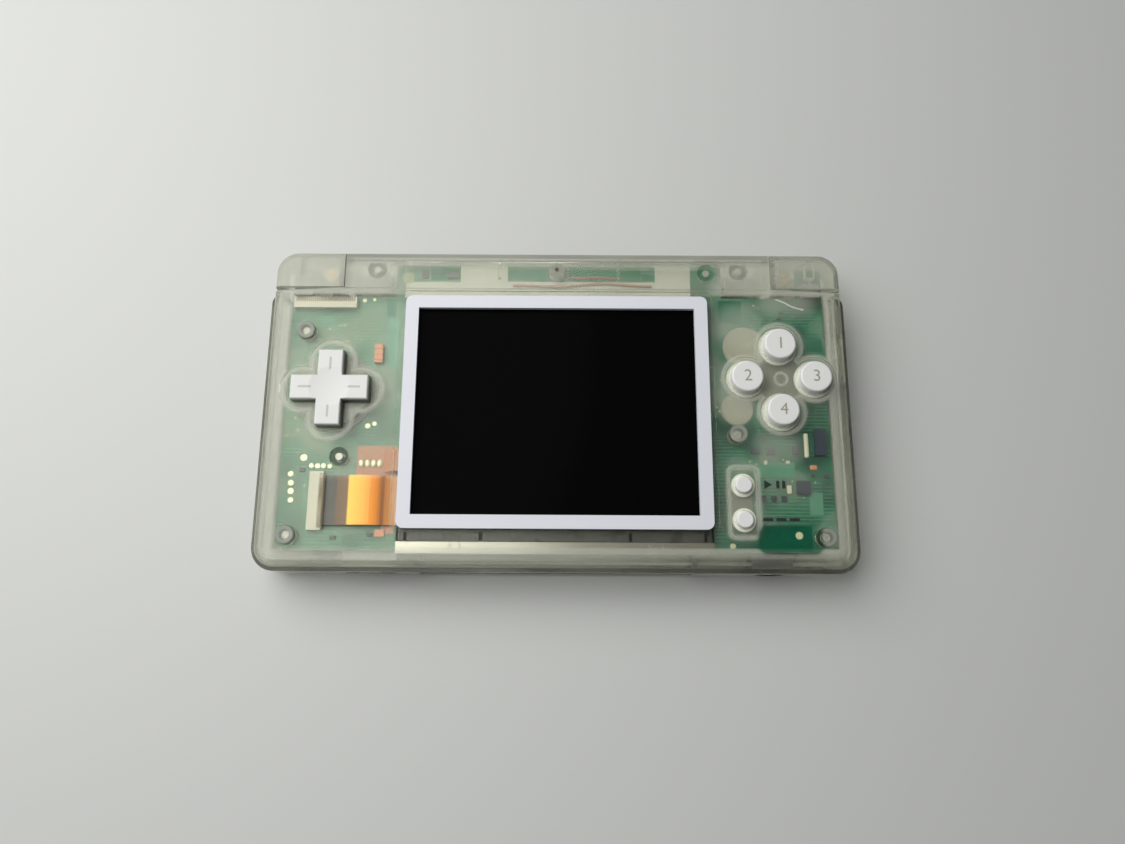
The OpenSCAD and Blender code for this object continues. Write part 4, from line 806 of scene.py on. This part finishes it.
def solder_pads(tin, olive):
    """Tinned test pads on the board, by x, y and radius, and the duller one in the rear strip."""
    shape = bmesh.new()
    for x, y, radius in (
        (-59.4, -15.4, 0.62), (-59.2, -17.4, 0.66), (-59.1, -19.3, 0.72), (-59.0, -21.3, 0.62),
        (-56.7, -11.7, 0.80), (-54.9, -13.5, 0.55), (-53.5, -13.6, 0.60), (-52.2, -13.5, 0.55),
        (-50.8, -13.6, 0.52), (-42.8, -4.3, 0.62), (-41.3, -3.8, 0.52), (53.6, -28.6, 0.85),
        (38.9, -31.0, 0.65), (-45.2, 25.9, 0.5), (-42.9, 26.1, 0.4),
    ):
        add_disc(shape, x, y, BOARD, radius, TINNING)
    finished_piece("solder_pads", shape, tin)
    shape = bmesh.new()
    add_disc(shape, -35.2, 31.6, BOARD, 1.5, TINNING)
    finished_piece("strip_pad", shape, olive)


def add_patches(shape, patches, height, soft):
    """Thin areas on the board; each is its centre's x and y, its width and its depth."""
    for x, y, w, d in patches:
        add_block(shape, x, y, BOARD, w, d, height, soft)


def between(spans):
    """Areas for add_patches from their ends: x from and to, y from and to."""
    return [((x0 + x1) / 2, (y0 + y1) / 2, x1 - x0, y1 - y0) for x0, x1, y0, y1 in spans]


def mask_areas(dark, deep, pale, vivid):
    """Areas of darker, of brighter and of paler solder mask."""
    for name, maker, patches in (
        ("dark_mask_areas", dark,
         [(-38.85, 24.3, 2.2, 4.6), (40.3, 23.6, 5.4, 5.4), (59.3, 15.4, 4.0, 3.2)]),
        ("front_mask_area", deep, [(47.5, -29.3, 18.0, 5.8)]),
        ("strip_mask_areas", vivid, between([
            (-12.1, -2.7, 31.1, 34.6), (2.6, 13.9, 31.1, 34.6), (14.6, 19.6, 31.1, 34.6),
            (19.9, 23.2, 31.1, 32.7), (-29.8, -22.6, 31.1, 34.5), (-37.6, -36.2, 30.6, 34.6),
            (31.3, 37.6, 30.6, 35.3)])),
        ("pale_mask_areas", pale,
         [(49.3, -13.9, 8.2, 3.4), (57.8, -21.5, 3.0, 5.0), (-53.6, 21.1, 3.0, 1.6),
          (-37.9, 15.4, 3.0, 12.2)]),
    ):
        shape = bmesh.new()
        add_patches(shape, patches, FILM, 0.01)
        finished_piece(name, shape, maker)


def strip_tape(maker):
    """Pale tape along the front half of the rear strip's board, and across its gaps."""
    shape = bmesh.new()
    add_patches(shape, between([
        (-35.8, -22.9, 26.8, 30.6), (-22.9, -11.8, 26.8, 34.8), (-11.8, 22.9, 26.8, 30.8),
        (22.9, 31.2, 26.8, 34.8)]), TAPE, 0.03)
    finished_piece("strip_tape", shape, maker)


def small_parts(dark, cream, rust):
    """Chips, capacitors and coils too small to have solids of their own.

    Each block is its centre's x and y, its width, depth and height, in millimetres.
    """
    shape = bmesh.new()
    for x, y, w, d, h in (
        (-56.8, -14.5, 1.2, 0.9, 0.5), (-49.1, -29.6, 1.1, 0.9, 0.5), (-41.0, -28.9, 1.0, 0.8, 0.5),
        (-31.2, 32.6, 1.4, 2.2, 0.5), (-24.6, 32.4, 2.6, 1.6, 0.5), (-27.6, 33.1, 0.6, 1.5, 0.4),
        (52.3, 23.4, 0.9, 0.6, 0.4), (51.6, 21.9, 0.9, 0.5, 0.4), (46.5, -7.0, 0.8, 1.2, 0.4),
        (57.3, -15.1, 0.9, 0.7, 0.4), (60.4, -15.4, 1.2, 0.8, 0.4),
    ):
        add_block(shape, x, y, BOARD, w, d, h)
    finished_piece("small_dark_parts", shape, dark)
    shape = bmesh.new()
    add_block(shape, 56.2, -8.4, BOARD, 1.0, 5.6, 0.7, 0.3)
    add_block(shape, 51.9, -18.4, BOARD, 1.1, 1.9, 0.5, 0.25)
    add_block(shape, 51.9, -12.2, BOARD, 0.9, 0.7, 0.3)
    add_block(shape, 46.9, -12.3, BOARD, 0.7, 0.9, 0.3)
    finished_piece("cream_parts", shape, cream)
    shape = bmesh.new()
    add_block(shape, 57.6, -13.4, BOARD, 1.6, 1.1, 0.4, 0.2)
    add_block(shape, -38.8, -28.6, BOARD + 0.2, 2.2, 1.6, 0.3, 0.12)
    finished_piece("rust_parts", shape, rust)


def round_bead(name, route, radius, maker):
    """Thin wire along a route of points, with its radius, in millimetres."""
    curve = bpy.data.curves.new(name, "CURVE")
    curve.dimensions = "3D"
    curve.bevel_depth = radius * MM
    curve.bevel_resolution = 2
    curve.use_fill_caps = True
    line = curve.splines.new("NURBS")
    line.points.add(len(route) - 1)
    for point, at in zip(line.points, route):
        point.co = (*[v * MM for v in at], 1)
    line.use_endpoint_u = True
    line.order_u = 3
    line.resolution_u = 6
    mesh = mesh_from(curve)
    mesh.shade_smooth()
    place_piece(name, mesh, maker)


def socket_pins(maker):
    """The row of sprung pins along each cable socket."""
    inset, sunk = 0.6, 0.45
    thick, tall, soft = 0.24, 0.5, 0.04
    shape = bmesh.new()
    for socket, pins in (("flex_connector_front", 26), ("flex_connector_rear", 29)):
        low, high = (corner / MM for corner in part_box(socket))
        for pin in range(pins):
            share = pin / (pins - 1)
            if socket == "flex_connector_front":
                y = low.y + inset + (high.y - low.y - 2 * inset) * share
                add_block(shape, high.x - 0.15, y, high.z - sunk, 1.3, thick, tall, soft)
            else:
                x = low.x + inset + (high.x - low.x - 2 * inset) * share
                add_block(shape, x, high.y - 0.55, high.z - sunk, thick, 1.2, tall, soft)
    finished_piece("socket_pins", shape, maker)


def solder_blobs(maker):
    """Four mounds of solder on the touch panel's cable."""
    shape = bmesh.new()
    for x in (-43.65, -42.25, -40.9, -39.55):
        bmesh.ops.create_uvsphere(
            shape, u_segments=16, v_segments=10, radius=0.62 * MM,
            matrix=Matrix.Translation((x * MM, -13.0 * MM, (BOARD + 0.3) * MM))
            @ Matrix.Diagonal((1, 1.5, 0.55, 1)),
        )
    finished_piece("solder_blobs", shape, maker, smooth=True)


def inductor_bands(maker):
    """Three raised bands round the red part beside the pad."""
    low, high = (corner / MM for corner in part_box("red_inductor"))
    at = middle("red_inductor")
    pitch, band, proud = 1.35, 0.55, 0.12
    shape = bmesh.new()
    for step in (-1, 0, 1):
        add_block(shape, at.x, at.y + step * pitch, low.z, high.x - low.x + 0.3, band,
                  high.z - low.z + proud, 0.1)
    finished_piece("inductor_bands", shape, maker)


def button_numerals(maker):
    """Plain printed numbers, one to four, on the face buttons."""
    for label, key in zip("1234", KEYS):
        button = f"face_button_{key}"
        words = bpy.data.curves.new(f"numeral_{key}", "FONT")
        words.body = label
        words.size = 3.8 * MM
        words.align_x = "CENTER"
        words.align_y = "CENTER"
        words.extrude = INK / 2 * MM
        mesh = mesh_from(words)
        at = middle(button) * MM
        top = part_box(button)[1].z
        mesh.transform(Matrix.Translation((at.x + 0.1 * MM, at.y, top + 0.005 * MM)))
        place_piece(f"numeral_{key}", mesh, maker, button)


def pad_marks(maker):
    """Worn marks in the four grooves of the cross pad."""
    low, high = (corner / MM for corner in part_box("dpad"))
    reach = (high.x - low.x) / 2 - 3.1
    long, narrow = 2.7, 0.48
    shape = bmesh.new()
    for x, y in ARMS:
        add_block(shape, PAD.x + reach * x, PAD.y + reach * y, high.z - 0.012,
                  long if x else narrow, long if y else narrow, INK, 0.004)
    finished_piece("pad_marks", shape, maker, body="dpad")


def menu_marks(maker):
    """Small printed marks beside the two menu buttons: a triangle with bars, and three bars."""
    shape = bmesh.new()
    level = CASE_TOP + 0.002
    corner = 1.15
    for button, marks in (
        ("start_button", ((1.7, 0, 0), (4.1, 0.7, 1.7), (5.4, 0.7, 1.7))),
        ("select_button", ((1.6, 2.2, 0.7), (4.5, 2.2, 0.7), (7.4, 2.2, 0.7))),
    ):
        at = middle(button)
        for offset, width, depth in marks:
            x = at.x + 3.35 + offset
            if width:
                add_block(shape, x, at.y, level, width, depth, INK, 0.004)
                continue
            bmesh.ops.create_cone(
                shape, cap_ends=True, segments=3, radius1=corner * MM, radius2=corner * MM,
                depth=INK * MM,
                matrix=Matrix.Translation((x * MM, at.y * MM, (level + INK / 2) * MM))
                @ Matrix.Rotation(-pi / 2, 4, "Z"),
            )
    finished_piece("menu_marks", shape, maker)


# Floor, lamp and camera

def build_stage():
    """Pale table under the object."""
    half_size = 3.0
    mesh = bpy.data.meshes.new("floor")
    shape = bmesh.new()
    bmesh.ops.create_grid(shape, x_segments=1, y_segments=1, size=half_size)
    shape.to_mesh(mesh)
    shape.free()
    floor = bpy.data.objects.new("floor", mesh)
    bpy.context.scene.collection.objects.link(floor)
    maker = Maker("pale_table")
    shades = [(0.3, (0.60, 0.61, 0.59)), (0.7, (0.62, 0.63, 0.61))]
    maker.to(maker.ramp(maker.noise(1.6, 2), shades), "Base Color")
    maker.set(Roughness=0.55)
    mesh.materials.append(maker.material)


def soft_lamp(name, at, size, power, tint):
    """Round lamp that faces the object; its place and size are in metres, its power in watts."""
    data = bpy.data.lights.new(name, "AREA")
    data.shape = "DISK"
    data.size = size
    data.energy = power
    data.color = tint
    lamp = bpy.data.objects.new(name, data)
    bpy.context.scene.collection.objects.link(lamp)
    lamp.location = at
    lamp.rotation_euler = Vector(at).to_track_quat("Z", "Y").to_euler()


# Direction from which the room's light is strongest, and its least and greatest strength
ROOM_BRIGHT_SIDE = (-0.85, 0.30, -0.25)
ROOM_DARKEST, ROOM_BRIGHTEST = 0.07, 0.42


def build_lights():
    """A broad soft lamp behind and left of the object, in a room that darkens to the right."""
    soft_lamp("window", at=(-0.22, 0.13, 0.36), size=0.56, power=2.22, tint=(1, 0.995, 0.975))
    world = bpy.data.worlds.new("studio")
    world.use_nodes = True
    tree = world.node_tree
    coord = tree.nodes.new("ShaderNodeTexCoord")
    side = tree.nodes.new("ShaderNodeVectorMath")
    side.operation = "DOT_PRODUCT"
    side.inputs[1].default_value = ROOM_BRIGHT_SIDE
    tree.links.new(coord.outputs["Generated"], side.inputs[0])
    shade = tree.nodes.new("ShaderNodeMapRange")
    shade.inputs["From Min"].default_value = -0.75
    shade.inputs["From Max"].default_value = 0.75
    shade.inputs["To Min"].default_value = ROOM_DARKEST
    shade.inputs["To Max"].default_value = ROOM_BRIGHTEST
    tree.links.new(side.outputs["Value"], shade.inputs["Value"])
    light = tree.nodes["Background"]
    light.inputs["Color"].default_value = (0.97, 0.985, 1, 1)
    tree.links.new(shade.outputs["Result"], light.inputs["Strength"])
    plain = tree.nodes.new("ShaderNodeBackground")
    plain.inputs["Color"].default_value = (0.80, 0.80, 0.79, 1)
    rays = tree.nodes.new("ShaderNodeLightPath")
    pick = tree.nodes.new("ShaderNodeMixShader")
    tree.links.new(rays.outputs["Is Camera Ray"], pick.inputs["Fac"])
    tree.links.new(light.outputs["Background"], pick.inputs[1])
    tree.links.new(plain.outputs["Background"], pick.inputs[2])
    tree.links.new(pick.outputs["Shader"], tree.nodes["World Output"].inputs["Surface"])
    bpy.context.scene.world = world


def build_camera():
    """The photograph's camera."""
    data = bpy.data.cameras.new("camera")
    data.sensor_fit = "HORIZONTAL"
    data.sensor_width = SENSOR_W
    data.lens = FOCAL_PX * SENSOR_W / PHOTO_W
    data.clip_start = 0.01
    camera = bpy.data.objects.new("camera", data)
    bpy.context.scene.collection.objects.link(camera)
    camera.location = CAMERA_AT
    camera.rotation_euler = [radians(a) for a in CAMERA_TURN]
    bpy.context.scene.camera = camera


build_camera()
build_stage()
build_lights()
bpy.context.scene.view_settings.view_transform = "Standard"

# Finishes of the pieces that have no solid of their own
ink = moulded("black_ink", (0.01, 0.01, 0.011), 0.5, 0.1, 400)
faded_ink = moulded("faded_ink", (0.34, 0.32, 0.25), 0.5, 0.15, 900)
faded_line = moulded("faded_line", (0.52, 0.50, 0.45), 0.5, 0.1, 900)
dark_parts = moulded("dark_parts", (0.018, 0.024, 0.030), 0.5, 0.2, 400)
cream = moulded("cream_plastic", (0.62, 0.58, 0.47), 0.5, 0.1, 300)
rust = moulded("rust_lacquer", (0.50, 0.20, 0.11), 0.4, 0.15, 700)
tin = moulded("tinned_pad", (0.72, 0.70, 0.50), 0.3, 0.2, 900, Metallic=0.4)
olive = moulded("olive_pad", (0.24, 0.27, 0.13), 0.5, 0.3, 300)
dark_mask = moulded("dark_mask", (0.010, 0.115, 0.068), 0.35, 0.4, 260)
deep_mask = moulded("deep_mask", (0.001, 0.075, 0.045), 0.4, 0.4, 260, Specular_IOR_Level=0.15)
vivid_mask = moulded("vivid_mask", (0.001, 0.125, 0.058), 0.45, 0.4, 200, Specular_IOR_Level=0.08)
pale_mask = moulded("pale_mask", (0.07, 0.22, 0.15), 0.35, 0.4, 260)
tape = moulded("pale_tape", (0.41, 0.405, 0.37), 0.6, 0.3, 160)
worn_wire = moulded("worn_wire", (0.23, 0.075, 0.055), 0.45, 0.3, 500)
white_wire = moulded("white_wire", (0.75, 0.75, 0.72), 0.4, 0.1, 500)
pin_tan = moulded("plated_pins", (0.16, 0.12, 0.075), 0.4, 0.2, 900, Metallic=0.5)
pale_lobes = moulded("pale_lobes", (0.30, 0.295, 0.24), 0.55, 0.3, 120)

solder_pads(tin, olive)
mask_areas(dark_mask, deep_mask, pale_mask, vivid_mask)
strip_tape(tape)
small_parts(dark_parts, cream, rust)
inductor_bands(rust)
socket_pins(pin_tan)
solder_blobs(tin)
button_numerals(faded_ink)
pad_marks(faded_line)
menu_marks(ink)
round_bead(
    "loose_wire",
    [(50.6, 25.9, 11.4), (52.6, 25.2, 11.55), (54.2, 23.9, 11.6), (56.9, 23.3, 11.6)],
    radius=0.16, maker=white_wire,
)
round_bead(
    "wire_bundle",
    [(2.8, 31.7, 9.75), (6.0, 31.5, 9.8), (9.5, 31.9, 9.8), (13.6, 31.5, 9.75)],
    radius=0.33, maker=worn_wire,
)

# Finishes of the part's own solids, and the solids that wear each of them
finishes = {
    "clear": clear_casing("clear_top", 0.15, top_haze, 0.84, less_glare),
    "milky_clear": clear_casing("clear_base", 0.07, lambda maker: cloudy(maker, 0.08, 0.16), 0.12),
    "hazy": clear_casing("milky_trigger", 0.15, lambda maker: cloudy(maker, 0.40, 0.55), 0.7),
    "scuffed": clear_casing("clear_trigger", 0.13, lambda maker: cloudy(maker, 0.26, 0.38), 0.75),
    "white": moulded("white_abs", (0.79, 0.79, 0.775), 0.35, 0.04, 90),
    "pad": pad_plastic(),
    "wear_and_shade": moulded("faded_wire", (0.33, 0.185, 0.14), 0.5, 0.3, 500),
    "frame": moulded("white_frame", (0.72, 0.735, 0.795), 0.4, 0.04, 60),
    "screen": moulded("black_glass", (0.002, 0.0022, 0.002), 0.12, 0, 60, 0.02,
                      Specular_IOR_Level=0.006),
    "display": moulded("display_rim", (0.045, 0.045, 0.042), 0.3, 0.5, 300),
    "board": circuit_board(),
    "black": moulded("black_plastic", (0.02, 0.02, 0.025), 0.5, 0.2, 300),
    "chips": moulded("blue_black_parts", (0.012, 0.020, 0.045), 0.45, 0.3, 500),
    "grey": moulded("grey_plastic", (0.18, 0.18, 0.19), 0.5, 0.1, 200),
    "wrap": moulded("battery_wrap", (0.07, 0.08, 0.10), 0.5, 0.1, 80),
    "metal": moulded("zinc_steel", (0.62, 0.61, 0.58), 0.35, 0.1, 200, Metallic=1.0),
    "tray": tray_sheet(),
    "ivory": moulded("ivory_sockets", (0.50, 0.465, 0.40), 0.5, 0.08, 400),
    "orange": display_film(),
    "brown": moulded("brown_film", (0.36, 0.15, 0.08), 0.4, 0.2, 300),
    "red": moulded("red_lacquer", (0.42, 0.10, 0.06), 0.4, 0.2, 400),
    "milky": moulded("milky_rubber", (0.165, 0.17, 0.145), 0.55, 0.12, 150),
    "screws": moulded("screw_steel", (0.36, 0.35, 0.33), 0.42, 0.1, 600, Metallic=0.9),
    "boot": moulded("boot_rubber", (0.46, 0.46, 0.43), 0.55, 0.1, 300),
    "cage": moulded("dull_cage", (0.40, 0.385, 0.35), 0.45, 0.15, 250, Metallic=0.8),
    "shaded": moulded("shaded_rubber", (0.15, 0.17, 0.14), 0.55, 0.12, 150),
    "brass": moulded("brass", (0.72, 0.50, 0.24), 0.3, 0.1, 400, Metallic=1.0),
    "rust": rust,
}
WEARS = {
    "clear": ["upper_shell"],
    "milky_clear": ["lower_shell", "battery_cover"],
    "hazy": ["left_trigger"],
    "scuffed": ["right_trigger", "power_slider", "volume_slider"],
    "pad": ["dpad"],
    "white": ["face_button_rear", "face_button_left", "face_button_right",
              "face_button_front", "start_button", "select_button"],
    "frame": ["screen_bezel"],
    "screen": ["touch_panel", "screen_gasket"],
    "display": ["lcd_panel"],
    "board": ["main_board"],
    "chips": ["board_parts"],
    "black": ["processor_chips", "headphone_jack", "cartridge_connector", "speaker"],
    "grey": ["power_switch", "volume_switch", "trigger_switches", "rubber_feet", "microphone"],
    "wrap": ["battery_pack"],
    "metal": ["radio_module", "dpad_pivot"],
    "screws": ["case_screws", "board_screws", "battery_cover_screw"],
    "tray": ["lcd_frame"],
    "ivory": ["flex_connector_front", "flex_connector_rear"],
    "orange": ["screen_flex"],
    "brown": ["touch_flex"],
    "red": ["speaker_wires"],
    "wear_and_shade": ["jumper_wire"],
    "rust": ["red_inductor"],
    "milky": ["face_button_membrane", "menu_button_membrane"],
    "boot": ["microphone_boot"],
    "cage": ["card_slot", "charge_port"],
    "shaded": ["dpad_membrane"],
    "brass": ["trigger_pins", "left_trigger_spring", "right_trigger_spring",
              "battery_contacts"],
}
for finish, names in WEARS.items():
    for name in names:
        wear_and_shade = nodes[name].data.materials
        wear_and_shade.clear()
        wear_and_shade.append(finishes[finish].material)

face_rubber(finishes["milky"], pale_lobes)
menu_rubber(finishes["milky"])
pad_rubber(finishes["shaded"])
